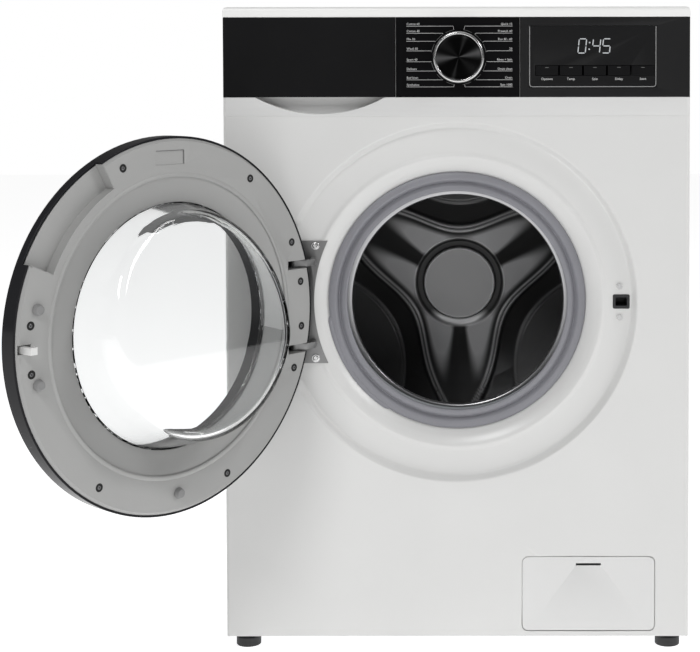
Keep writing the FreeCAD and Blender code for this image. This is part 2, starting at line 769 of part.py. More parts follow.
def make_dispenser():
    start = depth(sizes.housing_start)
    gap = sizes.drawer_gap
    wall = sizes.housing_wall
    inner_length = sizes.drawer_length - sizes.housing_start + sizes.facing_thick + 4
    outer = tray_block("housing_outer", gap + wall, start, inner_length + wall)
    inner = tray_block("housing_inner", gap, start - LOW, inner_length + LOW)
    rear = start + inner_length + wall
    outlet_depth = rear - 40
    outlet_side = DRAWER_LEFT + sizes.drawer_width * 0.6
    outlet_low = DRAWER_LOW - gap - wall - 16
    outlet = rod(
        "housing_outlet", sizes.dispenser_outlet, 17, (outlet_side, outlet_depth, outlet_low), "Z",
    )
    outlet_bore = rod(
        "housing_outlet_bore", sizes.dispenser_outlet - wall, 30,
        (outlet_side, outlet_depth, outlet_low - LOW), "Z",
    )
    inlet = rod("housing_inlet", sizes.hose_bore, 14, (-sizes.valve_side, rear - 1, VALVE_HEIGHT))
    inlet_bore = rod(
        "housing_inlet_bore", sizes.hose_bore - wall, 30,
        (-sizes.valve_side, rear - 10, VALVE_HEIGHT),
    )
    body = joined("housing_body", [outer, outlet, inlet])
    node("dispenser_housing", cut("housing", body, [inner, outlet_bore, inlet_bore]))
    return rear, outlet_side, outlet_depth, outlet_low


# ---------------------------------------------------------------- water inlet and mains entry

def make_inlet(dispenser_rear):
    centre = -sizes.valve_side
    body_depth = 44
    body_front = REAR_INSIDE - body_depth - 4
    body = box("valve_body", (centre - 15, body_front, VALVE_HEIGHT - 14), (30, body_depth, 28))
    coil = box("valve_coil", (centre - 11, body_front + 6, VALVE_HEIGHT + 14), (22, 30, 16))
    collar = rod(
        "valve_collar", sizes.valve_thread + 4, 4, (centre, REAR_INSIDE - 4, VALVE_HEIGHT),
    )
    neck = rod(
        "valve_neck", sizes.valve_thread - 0.6, sizes.rear_step + SHEET,
        (centre, REAR_INSIDE, VALVE_HEIGHT),
    )
    thread = rod(
        "valve_thread", sizes.valve_thread, sizes.valve_out, (centre, REAR, VALVE_HEIGHT),
    )
    bore = rod(
        "valve_bore", sizes.valve_bore, 30, (centre, REAR + sizes.valve_out - 20, VALVE_HEIGHT),
    )
    spigot = rod("valve_spigot", sizes.hose_bore, 16, (centre, body_front - 15, VALVE_HEIGHT))
    spigot_bore = rod(
        "valve_spigot_bore", sizes.hose_bore - 2, 16, (centre, body_front - 16, VALVE_HEIGHT),
    )
    node("inlet_valve", cut(
        "valve", joined("valve_casting", [body, coil, collar, neck, thread, spigot]),
        [bore, spigot_bore],
    ))
    start = dispenser_rear + 1
    length = body_front - 1 - start
    hose = rod(
        "hose_outer", sizes.hose_bore + sizes.hose_wall, length, (centre, start, VALVE_HEIGHT),
    )
    hose_bore = rod(
        "hose_inner", sizes.hose_bore, length + 2, (centre, start - LOW, VALVE_HEIGHT),
    )
    node("inlet_hose", cut("hose", hose, [hose_bore]))


def make_gland():
    body = turned("gland_turned", [
        (sizes.gland_bore, -10), (sizes.gland_body, -10), (sizes.gland_body, 0),
        (sizes.gland_body + 4, 0), (sizes.gland_body + 4, 4), (sizes.gland_body - 2, 8),
        (sizes.gland_bore, 8),
    ], (sizes.gland_side, REAR - sizes.rear_step, VALVE_HEIGHT))
    node("mains_gland", body)


# ---------------------------------------------------------------- drain

FILTER = sizes.filter_side
FILTER_HEIGHT = sizes.filter_height
FILTER_BORE = sizes.plug_radius + sizes.running_fit
FILTER_START = sizes.recess_depth + SHEET
FILTER_END = FILTER_START + sizes.filter_length
FLAP_GAP = 0.8
FLAP_AXIS_HEIGHT = sizes.flap_low + sizes.flap_axis


def make_filter_housing():
    border = 6
    wall = 2
    outer = box(
        "bezel_outer", (sizes.flap_left - border, FRONT + SHEET, sizes.flap_low - 5),
        (sizes.flap_width + border * 2, sizes.recess_depth + wall, sizes.flap_height + 11),
    )
    inner = box(
        "bezel_inner", (sizes.flap_left - border + wall, FRONT, sizes.flap_low - 3),
        (sizes.flap_width + (border - wall) * 2, sizes.recess_depth + SHEET,
         sizes.flap_height + 7),
    )
    lugs = []
    for name, side in (("left", sizes.flap_left - border + 1),
                       ("right", sizes.flap_left + sizes.flap_width)):
        lugs.append(box(
            "bezel_lug_" + name, (side, FRONT + SHEET, FLAP_AXIS_HEIGHT - 6), (border - 1, 11, 12),
        ))
    pin_bore = rod(
        "bezel_pin_bore", sizes.flap_pin + sizes.running_fit, sizes.flap_width + 8,
        (sizes.flap_left - 4, depth(sizes.flap_axis_depth), FLAP_AXIS_HEIGHT), "X",
    )
    tube = rod(
        "filter_tube", sizes.plug_radius + sizes.filter_wall, sizes.filter_length + wall,
        (FILTER, depth(FILTER_START), FILTER_HEIGHT),
    )
    spigot = rod(
        "filter_spigot", sizes.sump_spigot - 2, sizes.plug_radius + 16,
        (FILTER, depth(sizes.sump_depth), FILTER_HEIGHT), "Z",
    )
    spigot_bore = rod(
        "filter_spigot_bore", sizes.sump_spigot - 4, sizes.plug_radius + 20,
        (FILTER, depth(sizes.sump_depth), FILTER_HEIGHT), "Z",
    )
    bore = rod(
        "filter_bore", FILTER_BORE, sizes.filter_length + 40,
        (FILTER, depth(FILTER_START - 20), FILTER_HEIGHT),
    )
    frame = cut("bezel_frame", outer, [inner])
    body = joined("filter_body", [frame, tube, spigot] + lugs)
    node("filter_housing", cut("filter_casting", body, [bore, spigot_bore, pin_bore]))


def make_filter_plug():
    stem_end = FILTER_START + sizes.filter_length - 45
    stem = turned("plug_turned", [
        (0, FILTER_START - 6), (sizes.plug_radius - 3, FILTER_START - 6),
        (sizes.plug_radius, FILTER_START - 4), (sizes.plug_radius, FILTER_START + 20),
        (sizes.plug_radius - 8, FILTER_START + 24), (sizes.plug_radius - 8, stem_end), (0, stem_end),
    ], (FILTER, FRONT, FILTER_HEIGHT))
    handle = box(
        "plug_handle_bar",
        (FILTER - sizes.plug_radius + 4, depth(FILTER_START - 6 - sizes.plug_handle + 2),
         FILTER_HEIGHT - 4),
        (sizes.plug_radius * 2 - 8, sizes.plug_handle - 1, 8),
    )
    node("filter_plug", joined("plug", [stem, handle]))


def make_pump():
    start = depth(FILTER_END + 2)
    chamber = rod("pump_chamber_block", sizes.pump_radius, sizes.pump_chamber,
                  (FILTER, start, FILTER_HEIGHT))
    motor = box(
        "pump_motor_block",
        (FILTER - sizes.pump_motor / 2, start + sizes.pump_chamber,
         FILTER_HEIGHT - sizes.pump_motor / 2),
        (sizes.pump_motor, sizes.pump_motor, sizes.pump_motor),
    )
    outlet_depth = start + sizes.pump_chamber / 2
    outlet = rod(
        "pump_outlet", sizes.drain_radius - sizes.drain_wall, 20,
        (FILTER + sizes.pump_radius - 4, outlet_depth, FILTER_HEIGHT), "X",
    )
    outlet_bore = rod(
        "pump_outlet_bore", sizes.drain_radius - sizes.drain_wall * 2, 40,
        (FILTER + sizes.pump_radius - 20, outlet_depth, FILTER_HEIGHT), "X",
    )
    inside = rod(
        "pump_inside", sizes.impeller_radius + 3, sizes.pump_chamber - 5,
        (FILTER, start + 3, FILTER_HEIGHT),
    )
    eye = rod("pump_eye", 14, 20, (FILTER, start - 8, FILTER_HEIGHT))
    spindle_bore = rod(
        "pump_spindle_bore", 2 + sizes.running_fit, 20,
        (FILTER, start + sizes.pump_chamber - 4, FILTER_HEIGHT),
    )
    body = joined("pump_body", [chamber, motor, outlet])
    node("drain_pump", cut("pump", body, [outlet_bore, inside, eye, spindle_bore]))

    hub = rod("impeller_hub", 6, sizes.pump_chamber - 8, (FILTER, start + 4.5, FILTER_HEIGHT))
    spindle = rod("impeller_spindle", 2, 24, (FILTER, start + 9, FILTER_HEIGHT))
    blades = [
        box(
            "impeller_blade_" + name,
            (FILTER - wide / 2, start + 5, FILTER_HEIGHT - tall / 2), (wide, 11, tall),
        )
        for name, wide, tall in (
            ("flat", sizes.impeller_radius * 2 - 1, 2), ("upright", 2, sizes.impeller_radius * 2 - 1),
        )
    ]
    node("pump_impeller", joined("impeller", [hub, spindle] + blades))
    return outlet_depth


def make_drain_pipe(outlet_depth):
    """A hose from the pump's outlet, sideways and then straight back through the rear wall."""
    bend = 24.0
    first = number(FILTER + sizes.pump_radius + sizes.fit_gap)
    side = number(sizes.drain_side)
    fore = number(outlet_depth)
    height = number(FILTER_HEIGHT)
    rear = number(REAR + sizes.drain_out)
    corner = Vector(side - bend, fore + bend, height)
    middle = corner + Vector(bend * math.sin(math.pi / 4), -bend * math.cos(math.pi / 4), 0)
    bend_start = Vector(side - bend, fore, height)
    bend_end = Vector(side, fore + bend, height)
    spine = Part.Wire([
        Part.makeLine(Vector(first, fore, height), bend_start),
        Part.Arc(bend_start, middle, bend_end).toShape(),
        Part.makeLine(bend_end, Vector(side, rear, height)),
    ])
    end_radius = number(sizes.drain_radius)
    tubes = []
    for radius in (end_radius - 0.6, end_radius - number(sizes.drain_wall)):
        circle = Part.makeCircle(radius, Vector(first, fore, height), Vector(1, 0, 0))
        tubes.append(spine.makePipeShell([Part.Wire(circle)], True, True))
    collar = Part.makeCylinder(
        end_radius, number(sizes.drain_out), Vector(side, number(REAR), height), Vector(0, 1, 0),
    )
    node("drain_pipe", feature("pipe", tubes[0].fuse(collar).cut(tubes[1])))


def make_flap():
    gap = FLAP_GAP
    block = box(
        "flap_block", (sizes.flap_left + gap, FRONT, sizes.flap_low + gap),
        (sizes.flap_width - 2 * gap, sizes.flap_thick, sizes.flap_height - 2 * gap),
    )
    plate = rounded(
        "flap_round", block, sizes.flap_corner - gap,
        lambda edge: edge.BoundBox.XLength < 1e-6 and edge.BoundBox.ZLength < 1e-6,
    )
    lug_start = FRONT + sizes.flap_thick - 1
    lug_size = (5, sizes.flap_axis_depth - sizes.flap_thick + 4, 7)
    lugs = []
    pins = []
    for name, side, pin_start in (
        ("left", sizes.flap_left + 3, sizes.flap_left - 3.5),
        ("right", sizes.flap_left + sizes.flap_width - 8, sizes.flap_left + sizes.flap_width - 6.5),
    ):
        lugs.append(box("flap_lug_" + name, (side, lug_start, FLAP_AXIS_HEIGHT - 3.5), lug_size))
        pins.append(rod(
            "flap_pin_" + name, sizes.flap_pin, 10,
            (pin_start, depth(sizes.flap_axis_depth), FLAP_AXIS_HEIGHT), "X",
        ))
    coin = box(
        "coin_slot",
        (sizes.flap_left + sizes.flap_width / 2 - sizes.coin_width / 2, FRONT - LOW,
         sizes.flap_low + sizes.flap_height - sizes.coin_drop - sizes.coin_height),
        (sizes.coin_width, 20, sizes.coin_height),
    )
    node("service_flap", cut("flap", joined("flap_body", [plate] + lugs + pins), [coin]))


# ---------------------------------------------------------------- door, modelled shut

FACE = FRONT + sizes.door_inset
RIM_INSIDE = sizes.door_radius - sizes.rim_wall
SCREW_ANGLES = (68, 125, 156, 171, 187, 202, 248, 304, 352, 7)
BUMPER_ANGLES = (12, -12, -90)
GRIP_ANGLES = (24, 62)
SKIN_BACK = sizes.rim_wall + 0.5 - sizes.door_thick
BOLT_SEAT = -(sizes.bowl_seat + sizes.flange_thick)
HINGE_DEPTH = -sizes.hinge_forward
DOOR_CENTRE = (0, FACE, PORTHOLE)


def opened(name, obj):
    """Swing a piece of the door from shut to its open place, about the hinge pins."""
    pivot = Vector(number(-sizes.hinge_side), number(depth(HINGE_DEPTH)), 0)
    swing = FreeCAD.Rotation(Vector(0, 0, 1), -number(sizes.door_open))
    move = FreeCAD.Placement(Vector(0, 0, 0), swing, pivot)
    obj.Placement = move.multiply(obj.Placement)
    return node(name, obj)


def grip_sector(label, start, length, inner, outer):
    """A block between two radii and the two grip angles."""
    ring = rod(label + "_outer", outer, length, start)
    hole = rod(label + "_inner", inner, length, start)
    first, last = (math.radians(angle) for angle in GRIP_ANGLES)
    far = 400.0
    wedge = padded(label + "_wedge", [
        (0, 0), (far * math.cos(first), far * math.sin(first)),
        (far * math.cos((first + last) / 2) * 1.1, far * math.sin((first + last) / 2) * 1.1),
        (far * math.cos(last), far * math.sin(last)),
    ], length, start)
    wedge.Placement = FreeCAD.Placement(
        Vector(number(start[0]), number(start[1] + length), number(start[2])),
        FreeCAD.Rotation(Vector(1, 0, 0), 90),
    )
    wedge.setExpression("Placement.Base.y", (start[1] + length).text)
    wedge.setExpression("Placement.Base.z", start[2].text)
    return shared(label, [cut(label + "_ring", ring, [hole]), wedge])


def hinge_slots(label, inner_reach, back):
    """The two slots that the hinge arms reach through, open at the rim."""
    return [
        box(
            label + "_" + name,
            (-sizes.pocket_reach, FACE + back,
             PORTHOLE + sizes.hinge_spread * sign - sizes.arm_height / 2 - sizes.arm_gap),
            (sizes.pocket_reach - sizes.hinge_side + inner_reach, sizes.door_thick + 5,
             sizes.arm_height + sizes.arm_gap * 2),
        )
        for name, sign in (("upper", 1), ("lower", -1))
    ]


def make_outer_ring():
    back = -sizes.door_thick
    inner = sizes.bowl_radius - sizes.bowl_wall + 2
    profile = [
        (inner, back), (sizes.door_radius - 5, back), (sizes.door_radius, back + 4),
        (sizes.door_radius, -sizes.rim_drop), (RIM_INSIDE, -sizes.rim_drop), (RIM_INSIDE, SKIN_BACK),
        (inner + 3, SKIN_BACK), (inner + 3, BOLT_SEAT), (inner, BOLT_SEAT),
    ]
    ring = turned("ring_turned", profile, DOOR_CENTRE)
    grip = grip_sector(
        "ring_grip", (0, FACE - sizes.grip_depth, PORTHOLE), sizes.grip_depth + 5,
        sizes.door_radius - 6, sizes.door_radius + 10,
    )
    opened("door_outer_ring", cut("ring", ring, hinge_slots("ring_slot", 2, SKIN_BACK) + [grip]))


def polar(radius, degrees, extra=0):
    """A place on the shut door: radius and angle about its centre, extra towards the drum."""
    angle = math.radians(degrees)
    return (radius * math.cos(angle), FACE + extra, PORTHOLE + radius * math.sin(angle))


def make_inner_frame():
    edge = sizes.bowl_radius + 1
    skin = sizes.frame_skin
    seat = sizes.bowl_seat
    outer = RIM_INSIDE - sizes.fit_gap
    step = sizes.frame_step
    flange_end = sizes.bowl_radius + sizes.bowl_flange + 2
    ring = turned("frame_turned", [
        (edge, -seat), (edge, -4), (edge + 5, -2.5), (step - 3, -1.5), (step, 0), (outer - 3, 0),
        (outer, -3), (outer, -8), (outer - skin, -8), (outer - skin, -skin), (step + 1, -skin),
        (step - 3, -4), (flange_end, -4.5), (flange_end, -seat),
    ], DOOR_CENTRE)
    back = SKIN_BACK
    deep = -skin - back
    inside = rod("frame_inside", outer - skin / 2, 60, (0, FACE - 40, PORTHOLE))
    blocks = [
        shared("hinge_block_" + name, [
            box(
                "hinge_block_box_" + name,
                (-sizes.pocket_reach, FACE + back, PORTHOLE + sizes.hinge_spread * sign - 12),
                (sizes.pocket_reach - sizes.hinge_side + sizes.slot_reach + 4, deep + 0.5, 24),
            ),
            rod("hinge_block_disc_" + name, outer - skin / 2, 60, (0, FACE - 40, PORTHOLE)),
        ])
        for name, sign in (("upper", 1), ("lower", -1))
    ]
    latch_block = shared("latch_block", [
        box(
            "latch_block_box", (sizes.latch_side - 13, FACE - 22, PORTHOLE - 10),
            (30, 22 - skin + 0.5, 20),
        ),
        inside,
    ])
    bosses = [
        rod("boss_%d" % index, sizes.boss_radius, deep + 0.5,
            polar(sizes.screw_circle, angle, back))
        for index, angle in enumerate(SCREW_ANGLES)
    ]
    cup = shared("grip_cup", [
        grip_sector("grip_cup_block", (0, FACE - sizes.grip_depth - 2, PORTHOLE),
                    sizes.grip_depth + 2 - skin + 0.5, sizes.grip_inner - 2, sizes.door_radius - 4),
        rod("grip_cup_disc", outer - skin / 2, 60, (0, FACE - 40, PORTHOLE)),
    ])
    body = joined("frame_body", [ring, latch_block, cup] + blocks + bosses)
    grip = grip_sector(
        "frame_grip", (0, FACE - sizes.grip_depth, PORTHOLE), sizes.grip_depth + 5,
        sizes.grip_inner, sizes.door_radius + 10,
    )
    latch_cavity = box(
        "latch_cavity",
        (sizes.latch_side - sizes.latch_thick * 2, FACE - 18, PORTHOLE - sizes.latch_width / 2 - 1),
        (sizes.latch_thick * 2 + 6, 30, sizes.latch_width + 2),
    )
    latch_bore = rod(
        "latch_pin_bore", sizes.latch_pin, 18,
        (sizes.latch_side, FACE - sizes.latch_pin_depth, PORTHOLE - 9), "Z",
    )
    hinge_bores = [
        rod(
            "hinge_pin_bore_" + name, sizes.hinge_pin, 20,
            (-sizes.hinge_side, depth(HINGE_DEPTH), PORTHOLE + sizes.hinge_spread * sign - 10), "Z",
        )
        for name, sign in (("upper", 1), ("lower", -1))
    ]
    screw_cuts = []
    for index, angle in enumerate(SCREW_ANGLES):
        screw_cuts.append(rod(
            "screw_recess_%d" % index, sizes.boss_radius, sizes.screw_recess + LOW,
            polar(sizes.screw_circle, angle, -sizes.screw_recess),
        ))
        screw_cuts.append(rod(
            "screw_bore_%d" % index, sizes.screw_shank, 14,
            polar(sizes.screw_circle, angle, -14),
        ))
    label_recess = box(
        "label_recess", (-13, FACE - 0.8, PORTHOLE + sizes.door_radius - 33), (42, 3, 16),
    )
    cuts = hinge_slots("frame_slot", sizes.slot_reach, back) + hinge_bores + screw_cuts
    cuts += [grip, latch_cavity, latch_bore, label_recess]
    opened("door_inner_frame", cut("frame", body, cuts))


def make_glass():
    wall = sizes.bowl_wall
    radius = sizes.bowl_radius
    back = -BOLT_SEAT
    reach = sizes.bowl_reach + sizes.bowl_seat
    start = (0, FACE - sizes.bowl_seat, PORTHOLE)

    def facet(label, extra):
        """The slanted block that takes the upper part of the bowl's end away."""
        block = doc.addObject("Part::Box", label)
        block.Length = 500
        block.Width = 300
        block.Height = 300
        block.Placement = FreeCAD.Placement(
            Vector(-250, number(FACE + sizes.bowl_reach - extra),
                   number(PORTHOLE - sizes.crease_drop)),
            FreeCAD.Rotation(Vector(1, 0, 0), number(sizes.facet_slope)),
        )
        block.setExpression("Placement.Base.y", (FACE + sizes.bowl_reach - extra).text)
        block.setExpression("Placement.Base.z", (PORTHOLE - sizes.crease_drop).text)
        return block

    outside = cut("bowl_outside", cone(
        "bowl_cone", radius, sizes.bowl_end, reach, start,
    ), [facet("bowl_facet", 0)])
    hollow = cut("bowl_hollow", cone(
        "bowl_hollow_cone", radius - wall, sizes.bowl_end - wall, reach, start,
    ), [facet("bowl_hollow_facet", wall), box(
        "bowl_floor", (-250, FACE + sizes.bowl_reach - wall, PORTHOLE - 250), (500, 100, 500),
    )])
    flange = rod(
        "bowl_flange", radius + sizes.bowl_flange, sizes.flange_thick,
        (0, FACE - back, PORTHOLE),
    )
    throat = rod(
        "bowl_throat", radius - wall, back + LOW, (0, FACE - back - LOW, PORTHOLE),
    )
    body = joined("bowl_body", [outside, flange])
    opened("door_glass", cut("bowl", body, [hollow, throat]))


def make_door_fittings():
    pins = [
        rod(
            "hinge_pin_" + name, sizes.hinge_pin, 20,
            (-sizes.hinge_side, depth(HINGE_DEPTH), PORTHOLE + sizes.hinge_spread * sign - 10), "Z",
        )
        for name, sign in (("upper", 1), ("lower", -1))
    ]
    pins.append(rod(
        "latch_hook_pin", sizes.latch_pin, 18,
        (sizes.latch_side, FACE - sizes.latch_pin_depth, PORTHOLE - 9), "Z",
    ))
    opened("door_pins", grouped("pins", pins))

    screws = []
    for index, angle in enumerate(SCREW_ANGLES):
        head = rod(
            "door_screw_head_%d" % index, sizes.screw_head, sizes.screw_recess - 0.2,
            polar(sizes.screw_circle, angle, -sizes.screw_recess),
        )
        shank = rod(
            "door_screw_shank_%d" % index, sizes.screw_shank, 12,
            polar(sizes.screw_circle, angle, -13),
        )
        screws.append(joined("door_screw_%d" % index, [head, shank]))
    opened("door_screws", grouped("screws", screws))

    height = sizes.dish_depth - sizes.door_inset - sizes.bumper_clear
    bumpers = [
        cone(
            "bumper_%d" % index, sizes.bumper_radius, sizes.bumper_radius - 2, height,
            polar(sizes.bumper_circle, angle, 0),
        )
        for index, angle in enumerate(BUMPER_ANGLES)
    ]
    opened("door_bumpers", grouped("bumpers", bumpers))


def make_latch():
    side = sizes.latch_side
    thick = sizes.latch_thick
    low = PORTHOLE - sizes.latch_width / 2
    stem = box(
        "latch_stem", (side - thick / 2, FACE - sizes.latch_pin_depth - 5, low),
        (thick, sizes.latch_reach + sizes.latch_pin_depth + 5, sizes.latch_width),
    )
    barb = box(
        "latch_barb", (side - thick / 2 - 4, FACE + sizes.latch_reach - 5, low),
        (5, 5, sizes.latch_width),
    )
    bore = rod(
        "latch_hook_bore", sizes.latch_pin + sizes.running_fit, 30,
        (side, FACE - sizes.latch_pin_depth, PORTHOLE - 15), "Z",
    )
    opened("latch_hook", cut("latch", joined("latch_body", [stem, barb]), [bore]))


def make_lock():
    body = box(
        "lock_body",
        (sizes.latch_side - 17, depth(sizes.dish_depth + SHEET), PORTHOLE - sizes.lock_length / 2),
        (sizes.lock_width, sizes.lock_depth, sizes.lock_length),
    )
    cavity = box(
        "lock_cavity", (sizes.latch_side - 9, depth(sizes.dish_depth), PORTHOLE - 6), (17, 22, 12),
    )
    bores = [
        rod("lock_bore_%d" % index, radius, 30, (side, depth(sizes.dish_depth), height))
        for index, (side, height, radius) in enumerate(panel_screws()[2:])
    ]
    node("door_lock", cut("lock", body, [cavity] + bores))


def make_hinge_bracket():
    plate = box(
        "bracket_plate_block",
        (-sizes.hinge_side + 2, depth(sizes.dish_depth - sizes.bracket_plate),
         PORTHOLE - sizes.bracket_half),
        (40, sizes.bracket_plate, sizes.bracket_half * 2),
    )
    hollow = rod("bracket_hollow", sizes.throat_radius + 0.5, 60, (0, FRONT - 20, PORTHOLE))
    holes = [
        rod("bracket_hole_%d" % index, radius, 20, (side, FRONT, height))
        for index, (side, height, radius) in enumerate(panel_screws()[:2])
    ]
    arms = []
    eyes = []
    half = sizes.arm_width / 2
    step = sizes.arm_step
    to_plate = sizes.hinge_forward + sizes.dish_depth - 1
    outline = [
        (0, -5), (step - 6, -2.5), (step + half, 8), (step + half, to_plate),
        (step - half, to_plate), (step - half, 11.5), (step - 10, 5), (0, 5),
    ]
    for name, sign in (("upper", 1), ("lower", -1)):
        low = PORTHOLE + sizes.hinge_spread * sign - sizes.arm_height / 2
        arms.append(padded(
            "arm_" + name, outline, sizes.arm_height, (-sizes.hinge_side, depth(HINGE_DEPTH), low),
        ))
        arms.append(rod(
            "arm_eye_" + name, sizes.hinge_eye, sizes.arm_height,
            (-sizes.hinge_side, depth(HINGE_DEPTH), low), "Z",
        ))
        eyes.append(rod(
            "arm_bore_" + name, sizes.hinge_pin + sizes.running_fit, sizes.arm_height + 2 * LOW,
            (-sizes.hinge_side, depth(HINGE_DEPTH), low - LOW), "Z",
        ))
    base = cut("bracket_base", plate, [hollow] + holes)
    node("hinge_bracket", cut("bracket", joined("bracket_body", [base] + arms), eyes))


def make_cabinet_screws():
    screws = []
    for index, (side, height, radius) in enumerate(panel_screws()):
        seat = sizes.dish_depth - sizes.bracket_plate if index < 2 else sizes.dish_depth
        head = rod("panel_screw_head_%d" % index, radius * 2.4, 1.8, (side, depth(seat - 1.8), height))
        shank = rod("panel_screw_shank_%d" % index, radius, 12, (side, depth(seat - 1), height))
        screws.append(joined("panel_screw_%d" % index, [head, shank]))
    for row in range(REAR_SCREW_ROWS):
        for name, sign in (("left", -1), ("right", 1)):
            screws.append(rod(
                "rear_screw_%s_%d" % (name, row), 4, 1.4,
                (REAR_SCREW_SIDE * sign, REAR - sizes.rear_step + SHEET, rear_screw_height(row)),
            ))
    node("cabinet_screws", grouped("screws_group", screws))


# ---------------------------------------------------------------- gasket, tub and drum

DRUM_CENTRE = (0, FRONT, DRUM_HEIGHT)
TUB_INSIDE = sizes.drum_radius + sizes.tub_gap
TUB_OUTSIDE = TUB_INSIDE + sizes.tub_wall
DRUM_END = sizes.drum_front + sizes.drum_length
TUB_END = DRUM_END + sizes.tub_back_gap
TUB_BACK_FACE = TUB_END + sizes.tub_back
BOSS_END = TUB_END + sizes.bearing_width * 2 + sizes.bearing_gap
PULLEY_START = BOSS_END + 4
PULLEY_END = PULLEY_START + sizes.pulley_width


def make_gasket():
    wall = sizes.gasket_wall
    lip = sizes.lip_depth
    hook = sizes.lip_radius - sizes.fit_gap
    seat = sizes.neck_radius + sizes.fit_gap
    neck = sizes.neck_depth
    tip = sizes.gasket_lip
    fold = tip + 5.5
    node("door_gasket", turned("gasket", [
        (hook + 2, lip), (hook + 2, lip - wall), (tip + 10, sizes.gasket_lip_depth + 0.5),
        (tip, sizes.gasket_lip_depth), (tip, sizes.gasket_lip_depth + 2.5), (tip + 8.5, lip - 1),
        (hook - 7, lip + 3), (hook - 7, lip + 14), (fold, lip + 20), (fold, neck - 8),
        (seat, neck - 2), (seat, neck + 8), (seat + wall, neck + 8), (seat + wall, neck - 3.5),
        (fold + wall + 0.5, neck - 9), (fold + wall + 0.5, lip + 21.5), (hook - 3, lip + 16),
        (hook, lip + 12), (hook, lip),
    ], (0, FRONT, PORTHOLE)))


def make_tub():
    neck = sizes.neck_radius
    wall = sizes.tub_wall
    front = sizes.tub_front_depth
    split = sizes.tub_split
    inside = TUB_INSIDE
    outside = TUB_OUTSIDE
    flange = outside + sizes.tub_flange
    cover = turned("tub_cover", [
        (neck - sizes.drum_lower * 2, front), (outside, front), (outside, split - 5),
        (flange, split - 5), (flange, split), (inside, split), (inside, front + wall),
        (neck - sizes.drum_lower * 2, front + wall),
    ], DRUM_CENTRE)
    sleeve = rod(
        "tub_neck", neck, front + wall - sizes.neck_depth, (0, depth(sizes.neck_depth), PORTHOLE),
    )
    mouth = rod("tub_mouth", neck - wall, 40, (0, depth(sizes.neck_depth) - LOW, PORTHOLE))
    node("tub_front", cut("tub_lid", joined("tub_lid_body", [cover, sleeve]), [mouth]))
    shell = turned("tub_turned", [
        (inside, split), (flange, split), (flange, split + 5), (outside, split + 5),
        (outside, TUB_BACK_FACE), (sizes.bearing_radius + 11, TUB_BACK_FACE),
        (sizes.bearing_radius + 11, BOSS_END), (sizes.bearing_radius, BOSS_END),
        (sizes.bearing_radius, TUB_END), (inside, TUB_END),
    ], DRUM_CENTRE)
    well_low = DRUM_HEIGHT - outside - sizes.well_drop
    well_start = depth(split + 8)
    well_length = TUB_BACK_FACE - split - 8
    well = box(
        "well_outer", (sizes.well_left, well_start, well_low),
        (sizes.well_width, well_length, sizes.well_drop + 70),
    )
    well_inner = box(
        "well_inner", (sizes.well_left + wall, well_start + wall, well_low + wall),
        (sizes.well_width - wall * 2, well_length - wall - sizes.tub_back, sizes.well_drop + 70),
    )
    spigot = rod(
        "well_spigot", sizes.sump_spigot - 2, 17,
        (FILTER, depth(sizes.sump_depth), well_low - 16), "Z",
    )
    spigot_bore = rod(
        "well_spigot_bore", sizes.sump_spigot - 4, 40,
        (FILTER, depth(sizes.sump_depth), well_low - 17), "Z",
    )
    ears = []
    holes = []
    for name, sign in (("left", -1), ("right", 1)):
        spring_x = sizes.spring_side * sign
        ears.append(box(
            "spring_ear_" + name,
            (spring_x - 12, depth(sizes.spring_depth) - 3, DRUM_HEIGHT + 60),
            (24, 6, sizes.spring_ear - 60),
        ))
        holes.append(rod(
            "spring_ear_hole_" + name, 4, 20,
            (spring_x, depth(sizes.spring_depth) - 10, DRUM_HEIGHT + sizes.spring_ear - 8),
        ))
        ears.append(box(
            "damper_ear_" + name,
            (sizes.damper_side * sign - 10, depth(sizes.damper_depth) - 6,
             DRUM_HEIGHT - sizes.damper_ear),
            (20, 12, 70),
        ))
    motor_top = sizes.motor_height + sizes.motor_radius + 5
    for index, fore in enumerate((30, sizes.motor_length - 40)):
        ears.append(box(
            "motor_ear_%d" % index,
            (-sizes.motor_side - 10, depth(BOSS_END - sizes.motor_length - 17 + fore), motor_top),
            (20, 12, DRUM_HEIGHT - outside - motor_top + 40),
        ))
    hollow = rod(
        "tub_hollow", inside, TUB_END - split + LOW, (0, depth(split - LOW), DRUM_HEIGHT),
    )
    heater_holes = [
        rod("heater_hole_%d" % index, sizes.heater_tube, 40,
            (heater_side(index), depth(TUB_END - 20), heater_height()))
        for index in range(2)
    ]
    body = joined("tub_body", [shell, well, spigot] + ears)
    node("tub_rear", cut(
        "tub", body, [well_inner, hollow, spigot_bore] + holes + heater_holes,
    ))
    return well_low


def heater_side(index):
    return sizes.well_left + 35 + 40 * index


def heater_height():
    return DRUM_HEIGHT - TUB_OUTSIDE - sizes.well_drop + sizes.tub_wall + 14


def make_heater():
    start = depth(sizes.tub_split + 60)
    length = TUB_BACK_FACE - sizes.tub_split - 60 + 14
    height = heater_height()
    legs = [
        rod("heater_leg_%d" % index, sizes.heater_tube, length, (heater_side(index), start, height))
        for index in range(2)
    ]
    bridge = rod(
        "heater_bridge", sizes.heater_tube, heater_side(1) - heater_side(0),
        (heater_side(0), start, height), "X",
    )
    ends = [
        rod("heater_end_%d" % index, sizes.heater_tube + 0.01, 2 * LOW,
            (heater_side(index), start - LOW, height))
        for index in range(2)
    ]
    plate = box(
        "heater_plate", (heater_side(0) - 12, depth(TUB_BACK_FACE), height - 9), (64, 4, 18),
    )
    node("heater", joined("heater_body", legs + [bridge, plate] + ends))


